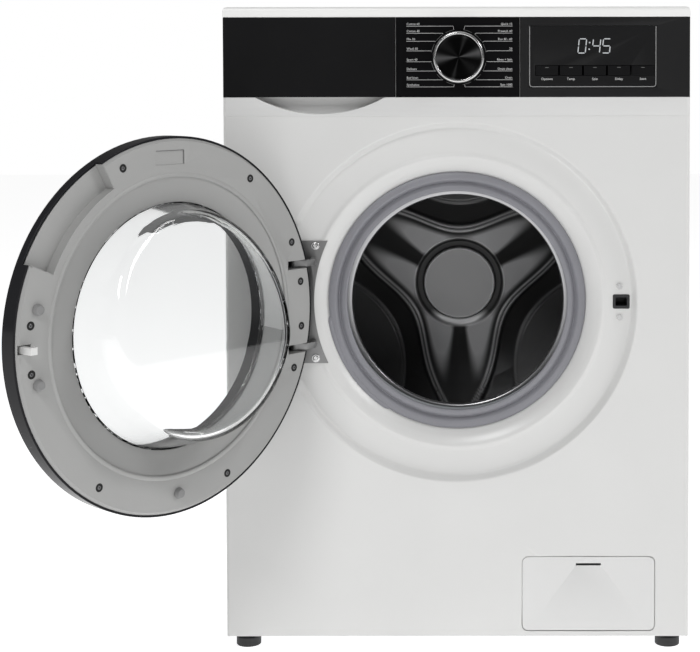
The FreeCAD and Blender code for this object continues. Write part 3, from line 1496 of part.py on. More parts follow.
def make_drum():
    radius = sizes.drum_radius
    wall = sizes.drum_wall
    front = sizes.drum_front
    mouth = sizes.drum_mouth
    node("drum_shell", turned("drum_turned", [
        (mouth, front), (radius, front), (radius, DRUM_END), (radius - wall, DRUM_END),
        (radius - wall, front + wall), (mouth + wall, front + wall), (mouth + wall, front + 8),
        (mouth, front + 8),
    ], DRUM_CENTRE))
    hub = sizes.hub_radius
    hub_front = DRUM_END - sizes.hub_reach
    node("drum_back", turned("drum_back_turned", [
        (0, hub_front), (hub, hub_front), (hub + 10, hub_front + 8), (hub + 98, DRUM_END - 10),
        (radius - wall, DRUM_END - 6), (radius - wall, DRUM_END - 4), (hub + 97, DRUM_END - 8),
        (hub + 9, hub_front + 10), (hub - 1, hub_front + 2), (0, hub_front + 2),
    ], DRUM_CENTRE))
    lifters = []
    for index, angle in enumerate((0, 120, 240)):
        bar = box(
            "lifter_bar_%d" % index,
            (sizes.lifter_width / -2, depth(front + 14), DRUM_HEIGHT - radius - 5),
            (sizes.lifter_width, sizes.drum_length - 26, sizes.lifter_height + 5),
        )
        bore = rod(
            "lifter_bore_%d" % index, radius - wall, sizes.drum_length, (0, depth(front), DRUM_HEIGHT),
        )
        lifter = shared("lifter_%d" % index, [bar, bore])
        pivot = Vector(0, 0, number(DRUM_HEIGHT))
        turn = FreeCAD.Rotation(Vector(0, 1, 0), angle)
        lifter.Placement = FreeCAD.Placement(Vector(0, 0, 0), turn, pivot)
        lifters.append(lifter)
    node("drum_lifters", grouped("lifters", lifters))


def make_spider():
    start = depth(DRUM_END)
    parts = [
        rod("spider_hub_disc", sizes.spider_hub, sizes.spider_thick + 3, (0, start, DRUM_HEIGHT)),
        rod("drum_shaft_main", sizes.shaft_radius, BOSS_END - DRUM_END + 2, (0, start, DRUM_HEIGHT)),
        rod(
            "drum_shaft_end", sizes.pulley_bore, PULLEY_END - DRUM_END + 4, (0, start, DRUM_HEIGHT),
        ),
    ]
    for index, angle in enumerate((0, 120, 240)):
        arm = box(
            "spider_arm_%d" % index, (sizes.spider_arm / -2, start, DRUM_HEIGHT),
            (sizes.spider_arm, sizes.spider_thick, sizes.drum_radius - 1),
        )
        disc = rod(
            "spider_disc_%d" % index, sizes.drum_radius, sizes.spider_thick, (0, start, DRUM_HEIGHT),
        )
        blade = shared("spider_blade_%d" % index, [arm, disc])
        pivot = Vector(0, 0, number(DRUM_HEIGHT))
        turn = FreeCAD.Rotation(Vector(0, 1, 0), angle)
        blade.Placement = FreeCAD.Placement(Vector(0, 0, 0), turn, pivot)
        parts.append(blade)
    node("drum_spider", joined("spider", parts))


def make_bearings():
    rings = [
        turned("bearing_%d" % index, [
            (sizes.shaft_radius + sizes.running_fit, first),
            (sizes.bearing_radius, first),
            (sizes.bearing_radius, first + sizes.bearing_width),
            (sizes.shaft_radius + sizes.running_fit, first + sizes.bearing_width),
        ], DRUM_CENTRE)
        for index, first in enumerate(
            (TUB_END, TUB_END + sizes.bearing_width + sizes.bearing_gap)
        )
    ]
    node("drum_bearings", grouped("bearings", rings))


def make_pulley():
    radius = sizes.pulley_radius
    bore = sizes.pulley_bore
    middle = PULLEY_START + sizes.pulley_width / 2
    wheel = turned("pulley_wheel", [
        (bore, PULLEY_START), (bore + 16, PULLEY_START), (bore + 16, middle - 2),
        (radius - 7, middle - 2), (radius - 7, PULLEY_START), (radius, PULLEY_START),
        (radius, PULLEY_END), (radius - 7, PULLEY_END), (radius - 7, middle + 2),
        (bore + 16, middle + 2), (bore + 16, PULLEY_END), (bore, PULLEY_END),
    ], DRUM_CENTRE)
    circle = (radius + bore) / 2 + 4
    holes = []
    for index in range(6):
        angle = math.radians(60 * index)
        holes.append(rod(
            "pulley_hole_%d" % index, 22, 40,
            (circle * math.cos(angle), depth(PULLEY_START - 10),
             DRUM_HEIGHT + circle * math.sin(angle)),
        ))
    node("drum_pulley", cut("pulley", wheel, holes))


def make_motor():
    centre = (-sizes.motor_side, depth(BOSS_END - sizes.motor_length - 17), sizes.motor_height)
    can = rod("motor_can", sizes.motor_radius, sizes.motor_length, centre)
    pad = box(
        "motor_pad",
        (-sizes.motor_side - 22, centre[1] + 5, sizes.motor_height + sizes.motor_radius - 14),
        (44, sizes.motor_length - 10, 19),
    )
    bore = rod(
        "motor_bore", sizes.motor_shaft + sizes.running_fit, sizes.motor_length + 2 * LOW,
        (centre[0], centre[1] - LOW, centre[2]),
    )
    node("motor", cut("motor_case", joined("motor_body", [can, pad]), [bore]))
    shaft = rod(
        "motor_spindle", sizes.motor_shaft, PULLEY_END - BOSS_END + sizes.motor_length + 30,
        (centre[0], centre[1] - 10, centre[2]),
    )
    wheel = rod(
        "motor_wheel", sizes.motor_pulley, sizes.pulley_width,
        (centre[0], depth(PULLEY_START), centre[2]),
    )
    node("motor_shaft", joined("motor_rotor", [shaft, wheel]))


def belt_loop(extra):
    """The closed line round both pulleys, extra outside their rims: two arcs and two tangents."""
    big = number(sizes.pulley_radius) + extra
    small = number(sizes.motor_pulley) + extra
    fore = number(depth(PULLEY_START + 1))
    centre_big = Vector(0, fore, number(DRUM_HEIGHT))
    centre_small = Vector(-number(sizes.motor_side), fore, number(sizes.motor_height))
    line = centre_small - centre_big
    lean = math.acos((big - small) / line.Length)
    heading = math.atan2(line.z, line.x)

    def point(centre, radius, angle):
        return centre + Vector(radius * math.cos(angle), 0, radius * math.sin(angle))

    first, last = heading + lean, heading - lean
    return Part.Wire([
        Part.Arc(
            point(centre_big, big, first), point(centre_big, big, heading + math.pi),
            point(centre_big, big, last),
        ).toShape(),
        Part.makeLine(point(centre_big, big, last), point(centre_small, small, last)),
        Part.Arc(
            point(centre_small, small, last), point(centre_small, small, heading),
            point(centre_small, small, first),
        ).toShape(),
        Part.makeLine(point(centre_small, small, first), point(centre_big, big, first)),
    ])


def make_belt():
    gap = number(sizes.fit_gap)
    width = Vector(0, number(sizes.pulley_width) - 2, 0)
    outer = Part.Face(belt_loop(gap + number(sizes.belt_thick))).extrude(width)
    inner = Part.Face(belt_loop(gap)).extrude(width)
    node("drive_belt", feature("belt", outer.cut(inner)))


def make_counterweight():
    start = sizes.tub_front_depth - sizes.counterweight_thick
    node("front_counterweight", turned("counterweight", [
        (sizes.counterweight_inner, start), (sizes.counterweight_outer - 8, start),
        (sizes.counterweight_outer, start + 8), (sizes.counterweight_outer, sizes.tub_front_depth),
        (sizes.counterweight_inner, sizes.tub_front_depth),
    ], DRUM_CENTRE))


def make_springs():
    """Two coils, hung between the top braces and the tub's ears."""
    pitch = number(sizes.spring_pitch)
    turns = number(sizes.spring_turns)
    coil = number(sizes.spring_coil)
    wire = number(sizes.spring_wire)
    ear_top = number(DRUM_HEIGHT + sizes.spring_ear)
    hanger = number(TOP - sizes.brace_drop)
    length = pitch * turns
    low = (ear_top + hanger) / 2 - length / 2
    springs = []
    for sign in (-1, 1):
        spine = Part.makeHelix(pitch, length, coil)
        section = Part.Wire(Part.makeCircle(wire, Vector(coil, 0, 0), Vector(0, 1, 0)))
        spring = Part.Wire(spine).makePipeShell([section], True, True)
        side = number(sizes.spring_side) * sign
        spring.translate(Vector(side, number(depth(sizes.spring_depth)), low))
        springs.append(spring)
    node("suspension_springs", feature("springs", Part.makeCompound(springs)))


def make_dampers():
    tubes = []
    rods = []
    low = sizes.foot_gap + sizes.pan_wall
    ear = DRUM_HEIGHT - sizes.damper_ear
    for name, sign in (("left", -1), ("right", 1)):
        side = sizes.damper_side * sign
        fore = depth(sizes.damper_depth)
        tube = rod("damper_outer_" + name, sizes.damper_tube, sizes.damper_length, (side, fore, low), "Z")
        bore = rod(
            "damper_bore_" + name, sizes.damper_rod + sizes.running_fit, sizes.damper_length,
            (side, fore, low + 10), "Z",
        )
        tubes.append(cut("damper_" + name, tube, [bore]))
        rod_low = low + 50
        rods.append(rod(
            "damper_rod_" + name, sizes.damper_rod, ear - rod_low, (side, fore, rod_low), "Z",
        ))
    node("damper_tubes", grouped("damper_tube_pair", tubes))
    node("damper_rods", grouped("damper_rod_pair", rods))


def bellows(label, outer, inner, start, length, folds):
    """A corrugated sleeve standing on start."""
    pitch = length / folds
    outside = [(outer, 0)]
    inside = [(inner, 0)]
    for index in range(folds):
        outside += [(outer + 4, pitch * (index + 0.5)), (outer, pitch * (index + 1))]
        inside += [(inner + 4, pitch * (index + 0.5)), (inner, pitch * (index + 1))]
    return turned(label, outside + inside[::-1], start, "Z")


def make_hoses(outlet_side, outlet_depth, outlet_low, well_low):
    """The soft sleeves from the dispenser down to the tub, and from the tub to the filter."""
    bore = sizes.sump_spigot - 2 + sizes.fit_gap
    filter_top = FILTER_HEIGHT + sizes.plug_radius + 6
    sump = bellows(
        "sump_sleeve", bore + 2, bore, (FILTER, depth(sizes.sump_depth), filter_top),
        well_low - 4 - filter_top, 3,
    )
    feed_bore = sizes.dispenser_outlet + sizes.fit_gap
    inner_edge = outlet_side + feed_bore + 6
    rise = TUB_OUTSIDE * TUB_OUTSIDE - inner_edge * inner_edge
    tub_top = DRUM_HEIGHT + Size("sqrt(%s)" % rise.text, math.sqrt(rise.value))
    low = tub_top + 2
    feed = bellows(
        "feed_sleeve", feed_bore + 2, feed_bore, (outlet_side, outlet_depth, low),
        outlet_low + 10 - low, 2,
    )
    node("tub_hoses", grouped("hoses", [sump, feed]))


# ---------------------------------------------------------------- build, check and write

make_shell()
make_back_panel()
make_base_pan()
make_feet()
make_front_panel()
make_worktop()
make_top_braces()
make_fascia()
make_facings()
make_window_and_buttons()
make_control_board()
make_knob()
make_drawer()
housing_rear, feed_side, feed_depth, feed_low = make_dispenser()
make_inlet(housing_rear)
make_gland()
make_filter_housing()
make_filter_plug()
make_drain_pipe(make_pump())
make_flap()
make_outer_ring()
make_inner_frame()
make_glass()
make_door_fittings()
make_latch()
make_lock()
make_hinge_bracket()
make_cabinet_screws()
make_gasket()
sump_low = make_tub()
make_heater()
make_drum()
make_spider()
make_bearings()
make_pulley()
make_motor()
make_belt()
make_counterweight()
make_springs()
make_dampers()
make_hoses(feed_side, feed_depth, feed_low, sump_low)
doc.recompute()

faults = [
    "%s %s" % (obj.Label, ",".join(obj.State))
    for obj in doc.Objects
    if "Invalid" in obj.State or "Error" in obj.State
]
for part in NODES:
    if part.Shape.isNull() or not part.Shape.isValid() or not part.Shape.Solids:
        faults.append(part.Label + " has no valid shape")
if faults:
    raise SystemExit("\n".join(faults))

os.makedirs("parts", exist_ok=True)
for part in NODES:
    part.Shape.exportStep("parts/%s.step" % part.Label)
print("%d sub-parts written" % len(NODES))
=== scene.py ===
import json
import math

import bmesh
import bpy
import numpy as np
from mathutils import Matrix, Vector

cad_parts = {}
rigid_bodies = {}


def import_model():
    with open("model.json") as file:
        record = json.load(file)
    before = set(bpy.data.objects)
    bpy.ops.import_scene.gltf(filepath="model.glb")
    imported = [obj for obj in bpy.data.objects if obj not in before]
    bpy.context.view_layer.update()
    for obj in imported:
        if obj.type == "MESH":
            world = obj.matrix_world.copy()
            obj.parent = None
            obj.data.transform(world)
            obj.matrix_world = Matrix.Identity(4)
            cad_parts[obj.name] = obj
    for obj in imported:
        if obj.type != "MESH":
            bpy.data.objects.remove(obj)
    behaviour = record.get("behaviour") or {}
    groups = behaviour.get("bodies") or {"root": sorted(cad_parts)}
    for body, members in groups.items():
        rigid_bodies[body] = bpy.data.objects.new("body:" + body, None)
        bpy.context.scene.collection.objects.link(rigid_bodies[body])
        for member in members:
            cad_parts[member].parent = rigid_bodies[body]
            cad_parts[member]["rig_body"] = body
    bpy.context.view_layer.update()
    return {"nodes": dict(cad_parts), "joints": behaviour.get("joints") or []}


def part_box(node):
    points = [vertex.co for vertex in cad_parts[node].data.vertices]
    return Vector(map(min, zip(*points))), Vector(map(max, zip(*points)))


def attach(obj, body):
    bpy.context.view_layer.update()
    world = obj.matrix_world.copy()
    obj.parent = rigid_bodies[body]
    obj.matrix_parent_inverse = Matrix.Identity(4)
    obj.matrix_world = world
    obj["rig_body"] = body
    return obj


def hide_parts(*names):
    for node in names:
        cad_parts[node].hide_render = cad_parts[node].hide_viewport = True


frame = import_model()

MM = 0.001

# ---------------------------------------------------------------- places, in millimetres


def node_box(name):
    """Lowest and highest corner of a node, in millimetres."""
    low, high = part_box(name)
    return np.array(low) / MM, np.array(high) / MM


JOINTS = {joint["name"]: joint for joint in frame["joints"]}
PANEL_LOW, PANEL_HIGH = node_box("front_panel")
GASKET_LOW, GASKET_HIGH = node_box("door_gasket")
FRONT = PANEL_LOW[1]
SIDE = PANEL_HIGH[0]
PORTHOLE = (GASKET_LOW[2] + GASKET_HIGH[2]) / 2
HINGE = np.array(JOINTS["door_swing"]["pos_m"]) / MM
OPEN_ANGLE = math.radians(JOINTS["door_swing"]["range_deg"][1])
DOOR_INSET = 2.7
DRUM_LOW, DRUM_HIGH = node_box("drum_shell")
DRUM_AXIS = (DRUM_LOW[2] + DRUM_HIGH[2]) / 2
KNOB_LOW, KNOB_HIGH = node_box("selector_knob")
KNOB_X = (KNOB_LOW[0] + KNOB_HIGH[0]) / 2
KNOB_Z = (KNOB_LOW[2] + KNOB_HIGH[2]) / 2
KNOB_RADIUS = (KNOB_HIGH[0] - KNOB_LOW[0]) / 2


def about_porthole(a, b, n):
    """Places by distance right and above the porthole's centre and depth behind the front face."""
    return np.stack(np.broadcast_arrays(a, FRONT + n, PORTHOLE + b), axis=-1)


def on_open_door(a, b, n):
    """The same for the shut door's inner face, then turned about the hinge axis to the open door."""
    x = a - HINGE[0]
    y = FRONT + DOOR_INSET + n - HINGE[1]
    turn = -OPEN_ANGLE
    return np.stack(np.broadcast_arrays(
        HINGE[0] + x * math.cos(turn) - y * math.sin(turn),
        HINGE[1] + x * math.sin(turn) + y * math.cos(turn),
        PORTHOLE + b,
    ), axis=-1)


# ---------------------------------------------------------------- finishes


def finish(name, colour, roughness, metallic=0.0, grain=0.0, grain_size=600.0, stretch=(1, 1, 1),
           tone=0.06, tone_size=9.0, spread=0.12, attribute=None, sockets=()):
    """A procedural finish. The colour drifts by tone with a broad noise and the roughness by
    spread, and grain is the height in metres of a fine noise, stretched along an axis if brushed."""
    material = bpy.data.materials.new(name)
    material.use_nodes = True
    nodes, links = material.node_tree.nodes, material.node_tree.links
    shader = nodes["Principled BSDF"]
    place = nodes.new("ShaderNodeTexCoord")
    turn = nodes.new("ShaderNodeMapping")
    turn.inputs["Scale"].default_value = stretch
    links.new(place.outputs["Object"], turn.inputs["Vector"])
    fine = nodes.new("ShaderNodeTexNoise")
    fine.inputs["Scale"].default_value = grain_size
    fine.inputs["Detail"].default_value = 3
    links.new(turn.outputs["Vector"], fine.inputs["Vector"])
    broad = nodes.new("ShaderNodeTexNoise")
    broad.inputs["Scale"].default_value = tone_size
    broad.inputs["Detail"].default_value = 4
    links.new(turn.outputs["Vector"] if stretch != (1, 1, 1) else place.outputs["Object"],
              broad.inputs["Vector"])
    ramp = nodes.new("ShaderNodeValToRGB")
    ramp.color_ramp.elements[0].position = 0.3
    ramp.color_ramp.elements[1].position = 0.7
    ramp.color_ramp.elements[0].color = (*[c * (1 - tone) for c in colour], 1)
    ramp.color_ramp.elements[1].color = (*[min(c * (1 + tone), 1) for c in colour], 1)
    links.new(broad.outputs["Fac"], ramp.inputs["Fac"])
    shown = ramp.outputs["Color"]
    # an attribute multiplies the colour; the pieces that carry one paint highlights and shade into it
    if attribute:
        shade = nodes.new("ShaderNodeAttribute")
        shade.attribute_name = attribute
        mixed = nodes.new("ShaderNodeMix")
        mixed.data_type = "RGBA"
        mixed.blend_type = "MULTIPLY"
        mixed.inputs["Factor"].default_value = 1
        links.new(shown, mixed.inputs["A"])
        links.new(shade.outputs["Color"], mixed.inputs["B"])
        shown = mixed.outputs["Result"]
    links.new(shown, shader.inputs["Base Color"])
    level = nodes.new("ShaderNodeMapRange")
    level.inputs["To Min"].default_value = max(roughness * (1 - spread), 0.02)
    level.inputs["To Max"].default_value = min(roughness * (1 + spread), 1)
    links.new(fine.outputs["Fac"], level.inputs["Value"])
    links.new(level.outputs["Result"], shader.inputs["Roughness"])
    shader.inputs["Metallic"].default_value = metallic
    if grain:
        bump = nodes.new("ShaderNodeBump")
        bump.inputs["Strength"].default_value = 1
        bump.inputs["Distance"].default_value = grain
        links.new(fine.outputs["Fac"], bump.inputs["Height"])
        links.new(bump.outputs["Normal"], shader.inputs["Normal"])
    for socket, value in sockets:
        shader.inputs[socket].default_value = value
    return material


DULL = (("Specular IOR Level", 0.08),)
enamel = finish("white_enamel", (0.70, 0.70, 0.692), 0.32, grain=0.00001, grain_size=700, tone=0.012)
back_enamel = finish("back_enamel", (0.70, 0.70, 0.69), 0.45, grain=0.00002, grain_size=500)
laminate = finish("worktop_laminate", (0.86, 0.86, 0.85), 0.38, grain=0.00003, grain_size=900,
                  tone=0.012)
white_plastic = finish("white_plastic", (0.71, 0.71, 0.705), 0.3, grain=0.00001, tone=0.012)
flap_plastic = finish("flap_white", (0.70, 0.70, 0.695), 0.34, grain=0.00001, tone=0.012)
black_gloss = finish("black_panel", (0.010, 0.010, 0.0105), 0.2, grain=0.000003, grain_size=900,
                     tone=0.1, sockets=DULL)
dial_gloss = finish("dial_panel", (0.005, 0.005, 0.0055), 0.18, grain=0.000003, grain_size=900,
                    tone=0.1, sockets=DULL)
smoked_gloss = finish("display_grey", (0.018, 0.018, 0.0185), 0.24, grain=0.000003, grain_size=900,
                      tone=0.1, sockets=DULL)
pane_gloss = finish("display_pane", (0.014, 0.014, 0.0145), 0.16, grain=0.000002, grain_size=900,
                    tone=0.1, sockets=DULL)
button_gloss = finish("button_plastic", (0.008, 0.008, 0.0085), 0.3, grain=0.000005, tone=0.1,
                      sockets=DULL)
drawer_plastic = finish("drawer_plastic", (0.66, 0.70, 0.73), 0.4, grain=0.00002)
board_green = finish("board_green", (0.03, 0.14, 0.06), 0.4, grain=0.00004, grain_size=300,
                     tone=0.3, tone_size=60)
valve_plastic = finish("valve_plastic", (0.62, 0.60, 0.52), 0.45, grain=0.00002)
hose_rubber = finish("hose_rubber", (0.022, 0.022, 0.024), 0.7, grain=0.00006, tone=0.15)
drain_plastic = finish("drain_plastic", (0.20, 0.21, 0.22), 0.5, grain=0.00003)
plug_plastic = finish("plug_plastic", (0.03, 0.03, 0.033), 0.5, grain=0.00003)
lock_plastic = finish("lock_plastic", (0.015, 0.015, 0.017), 0.42, grain=0.00003)
zinc = finish("zinc_casting", (0.26, 0.26, 0.26), 0.42, metallic=0.85, grain=0.00006,
              grain_size=500, tone=0.12)
screw_steel = finish("screw_steel", (0.55, 0.55, 0.55), 0.25, metallic=1, grain=0.00002)
gasket_rubber = finish("gasket_rubber", (0.235, 0.235, 0.258), 0.5, grain=0.00003,
                       grain_size=800, tone=0.05)
spring_steel = finish("spring_steel", (0.16, 0.16, 0.17), 0.35, metallic=1, grain=0.00003)
foot_plastic = finish("foot_plastic", (0.02, 0.02, 0.021), 0.55, grain=0.00005)
door_black = finish("door_black", (0.018, 0.018, 0.020), 0.14, grain=0.000004, grain_size=900,
                    tone=0.1, sockets=DULL)
door_grey = finish("door_grey", (0.36, 0.36, 0.355), 0.42, grain=0.00003, grain_size=1100,
                   tone=0.02)
hook_steel = finish("hook_steel", (0.72, 0.72, 0.71), 0.35, metallic=0.4, grain=0.00003)
dark_steel = finish("dark_steel", (0.16, 0.16, 0.165), 0.35, metallic=0.8, grain=0.00003)
# painted shade for the edges of the door's label recess
recess_shade_grey = finish("recess_shade_grey", (0.15, 0.15, 0.15), 0.6, grain=0.00003)
bumper_rubber = finish("bumper_rubber", (0.24, 0.24, 0.24), 0.7, grain=0.00005)
tub_plastic = finish("tub_plastic", (0.50, 0.53, 0.55), 0.5, grain=0.00005, grain_size=400)
concrete = finish("concrete", (0.36, 0.35, 0.33), 0.9, grain=0.0004, grain_size=160, tone=0.15,
                  tone_size=30)
heater_steel = finish("heater_steel", (0.45, 0.45, 0.46), 0.25, metallic=1, grain=0.00002)
motor_metal = finish("motor_metal", (0.16, 0.17, 0.18), 0.4, metallic=0.7, grain=0.00004)
bearing_steel = finish("bearing_steel", (0.5, 0.5, 0.51), 0.2, metallic=1, grain=0.00001)
belt_rubber = finish("belt_rubber", (0.014, 0.014, 0.015), 0.65, grain=0.0001)
galvanised = finish("galvanised", (0.45, 0.47, 0.48), 0.4, metallic=0.9, grain=0.00003,
                    tone=0.18, tone_size=70)
drum_wall_steel = finish("drum_steel", (0.42, 0.42, 0.43), 0.3, metallic=1, grain=0.00002,
                         grain_size=500, stretch=(1, 8, 1))
# its colour is multiplied by an attribute of painted highlights and painted shade
drum_star_steel = finish("drum_star_steel", (0.92, 0.92, 0.93), 0.36, metallic=0.25, grain=0.000012,
                         grain_size=900, attribute="painted_sheen")
lifter_plastic = finish("lifter_plastic", (0.30, 0.31, 0.32), 0.4, grain=0.00003)
spider_alloy = finish("spider_alloy", (0.46, 0.47, 0.48), 0.45, metallic=0.9, grain=0.0001,
                      grain_size=300)
chrome = finish("knob_chrome", (0.62, 0.62, 0.62), 0.2, metallic=1, grain=0.000003, tone=0.02)
# its colour is multiplied by an attribute of painted reflection
spun_metal = finish("knob_metal", (0.5, 0.5, 0.51), 0.3, metallic=1, grain=0.000008,
                    grain_size=900, attribute="painted_sheen")
print_white = finish("print_white", (0.62, 0.62, 0.62), 0.5, grain=0.000004, tone=0.03)
# painted highlight for the display window's edges
painted_edge_highlight = finish("painted_edge_highlight", (0.34, 0.34, 0.34), 0.4, grain=0.000004, tone=0.03)
print_grey = finish("print_grey", (0.13, 0.13, 0.13), 0.5, grain=0.000004, tone=0.03)
# near-black: painted shade inside the door's screw wells, and also the lock screw heads' finish
near_black_hole_shade = finish("near_black_hole_shade", (0.006, 0.006, 0.006), 0.8, grain=0.00002)
digit_glow = finish("digit_glow", (0.42, 0.43, 0.44), 0.4, grain=0.000004, tone=0.02, sockets=(
    ("Emission Color", (0.85, 0.93, 1.0, 1)), ("Emission Strength", 0.12),
))
bowl_glass = finish("bowl_glass", (0.90, 0.91, 0.91), 0.02, grain=0.000004, grain_size=60,
                    tone=0.01, sockets=(("Transmission Weight", 1.0), ("IOR", 1.45)))


def repaint(material, *names):
    """Give CAD nodes a finish."""
    for name in names:
        mesh = frame["nodes"][name].data
        mesh.materials.clear()
        mesh.materials.append(material)


# ---------------------------------------------------------------- surfaces


def grid_faces(rows, columns, closed_rows, closed_columns, first=0, kept=None):
    """Corner numbers of the quads between neighbouring points of a grid."""
    row = np.arange(rows if closed_rows else rows - 1)
    column = np.arange(columns if closed_columns else columns - 1)
    i, j = np.meshgrid(row, column, indexing="ij")
    if kept is not None:
        keep = kept[i, j]
        i, j = i[keep], j[keep]
    i, j = i.ravel(), j.ravel()
    i2, j2 = (i + 1) % rows, (j + 1) % columns
    corners = np.stack([i * columns + j, i2 * columns + j, i2 * columns + j2, i * columns + j2], 1)
    return corners + first


def build(name, points, faces, material, body, attribute=None, smooth=True, sharp=None,
          replaces=()):
    """One mesh object from points in millimetres and faces, riding on a body."""
    mesh = bpy.data.meshes.new(name)
    mesh.from_pydata((np.asarray(points) * MM).tolist(), [], [list(map(int, f)) for f in faces])
    mesh.validate()
    mesh.materials.append(material)
    if smooth:
        mesh.polygons.foreach_set("use_smooth", np.ones(len(mesh.polygons), bool))
        if sharp:
            mesh.set_sharp_from_angle(angle=math.radians(sharp))
    if attribute is not None:
        label, values = attribute
        layer = mesh.color_attributes.new(label, "FLOAT_COLOR", "POINT")
        colours = np.ones((len(mesh.vertices), 4), np.float32)
        colours[:, :3] = np.asarray(values).reshape(-1, 1)
        layer.data.foreach_set("color", colours.ravel())
    piece = bpy.data.objects.new(name, mesh)
    bpy.context.scene.collection.objects.link(piece)
    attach(piece, body)
    if replaces:
        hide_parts(*replaces)
    return piece


def face_outwards(piece):
    """Recalculate the normals of a closed mesh after its doubles are merged."""
    work = bmesh.new()
    work.from_mesh(piece.data)
    bmesh.ops.remove_doubles(work, verts=work.verts, dist=0.000001)
    bmesh.ops.recalc_face_normals(work, faces=work.faces)
    work.to_mesh(piece.data)
    work.free()
    return piece


def rounded_profile(corners, radius, closed=True, steps=4):
    """A line of straight runs whose corners become arcs: at each corner a point runs along the
    quadratic curve between the places one radius before it and one radius after it."""
    corners = np.asarray(corners, float)
    count = len(corners)
    radii = np.broadcast_to(radius, count)
    line = []
    for index in range(count):
        here = corners[index]
        if not closed and index in (0, count - 1):
            line.append(here)
            continue
        before, after = corners[index - 1], corners[(index + 1) % count]
        to_before, to_after = before - here, after - here
        reach = min(radii[index], np.linalg.norm(to_before) * 0.45, np.linalg.norm(to_after) * 0.45)
        first = here + to_before / np.linalg.norm(to_before) * reach
        last = here + to_after / np.linalg.norm(to_after) * reach
        for t in np.linspace(0, 1, steps + 1):
            line.append((1 - t) ** 2 * first + 2 * t * (1 - t) * here + t * t * last)
    return np.array(line)


def turned(name, profile, material, body, place, centre=(0.0, 0.0), around=192, closed=True,
           replaces=(), sharp=None, attribute=None):
    """A surface of revolution: each profile point (radius, depth) goes round a circle, so a point
    is (centre + radius cos angle, centre + radius sin angle, depth) for angles from 0 to a turn."""
    angle = np.linspace(0, 2 * math.pi, around, endpoint=False)
    radius, depth = profile[:, 0][:, None], profile[:, 1][:, None]
    a = centre[0] + radius * np.cos(angle)
    b = centre[1] + radius * np.sin(angle)
    points = place(a, b, depth + a * 0).reshape(-1, 3)
    faces = grid_faces(len(profile), around, closed, True)
    piece = build(name, points, faces, material, body, replaces=replaces, attribute=attribute)
    face_outwards(piece)
    if sharp:
        piece.data.set_sharp_from_angle(angle=math.radians(sharp))
    return piece


def softened(node, material, width=0.8, segments=2, name=None):
    """A copy of a CAD node with its faces merged and its edges rounded, in the node's place."""
    source = frame["nodes"][node]
    body = source["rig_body"]
    mesh = source.data.copy()
    mesh.materials.clear()
    mesh.materials.append(material)
    work = bmesh.new()
    work.from_mesh(mesh)
    bmesh.ops.remove_doubles(work, verts=work.verts, dist=0.000002)
    bmesh.ops.dissolve_limit(work, angle_limit=math.radians(0.5), verts=work.verts,
                             edges=work.edges)
    work.to_mesh(mesh)
    work.free()
    mesh.polygons.foreach_set("use_smooth", np.ones(len(mesh.polygons), bool))
    mesh.set_sharp_from_angle(angle=math.radians(28))
    piece = bpy.data.objects.new(name or node + "_finished", mesh)
    bpy.context.scene.collection.objects.link(piece)
    edge = piece.modifiers.new("edges", "BEVEL")
    edge.width = width * MM
    edge.segments = segments
    edge.limit_method = "ANGLE"
    edge.angle_limit = math.radians(35)
    edge.use_clamp_overlap = True
    edge.miter_outer = "MITER_ARC"
    edge.harden_normals = True
    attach(piece, body)
    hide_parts(node)
    return piece


def smooth_step(low, high, value):
    """Zero below the low value, one above the high one, and a smooth S curve between them."""
    t = np.clip((value - low) / (high - low), 0, 1)
    return t * t * (3 - 2 * t)


def bump_at(value, centre, width):
    """A smooth hump, 1 at the centre and falling off over width to either side."""
    return np.exp(-((value - centre) / width) ** 2)


# ---------------------------------------------------------------- pressed front panel

DISH, THROAT, LIP = 230.0, 183.0, 163.0
DISH_DEPTH, LIP_DEPTH = 10.0, 24.0
POCKET_CENTRE, POCKET_HALF = (-205.0, 0.0), (31.0, 105.0)


def pressing(x, z):
    """Depth of the pressing at a place about the porthole: the dish's circle and the hinge
    pocket's rounded box are joined by their smallest distance, the wall between the face and the
    dish floor is a smooth step across it, and the throat is a second step inside its own radius."""
    radius = np.hypot(x, z)
    dish = radius - DISH
    qx = np.abs(x - POCKET_CENTRE[0]) - (POCKET_HALF[0] - 6)
    qz = np.abs(z - POCKET_CENTRE[1]) - (POCKET_HALF[1] - 6)
    pocket = np.hypot(np.maximum(qx, 0), np.maximum(qz, 0)) + np.minimum(np.maximum(qx, qz), 0) - 6
    blend = np.clip(0.5 + 0.5 * (pocket - dish) / 5, 0, 1)
    edge = pocket * (1 - blend) + dish * blend - 5 * blend * (1 - blend)
    wall = smooth_step(1.5, -7.0, edge)
    inward = np.clip((THROAT - radius) / (THROAT - LIP - 3), 0, 1)
    throat = inward - 0.12 * np.sin(math.pi * inward)
    swell = 1.6 * bump_at(radius, THROAT + 4.5, 3.2)
    return DISH_DEPTH * wall + (LIP_DEPTH - DISH_DEPTH) * throat - swell * wall


def ray_to_box(angle, centre, low, high):
    """Distance from a centre to the edge of an upright rectangle, for each angle."""
    across, up = np.cos(angle), np.sin(angle)
    wide = np.where(across > 0, high[0] - centre[0], centre[0] - low[0])
    tall = np.where(up > 0, high[1] - centre[1], centre[1] - low[1])
    return np.minimum(wide / np.maximum(np.abs(across), 1e-9), tall / np.maximum(np.abs(up), 1e-9))


def corner_angles(centre, low, high):
    """The directions from a centre to the four corners of a rectangle."""
    return [math.atan2(z - centre[1], x - centre[0])
            for x in (low[0], high[0]) for z in (low[1], high[1])]


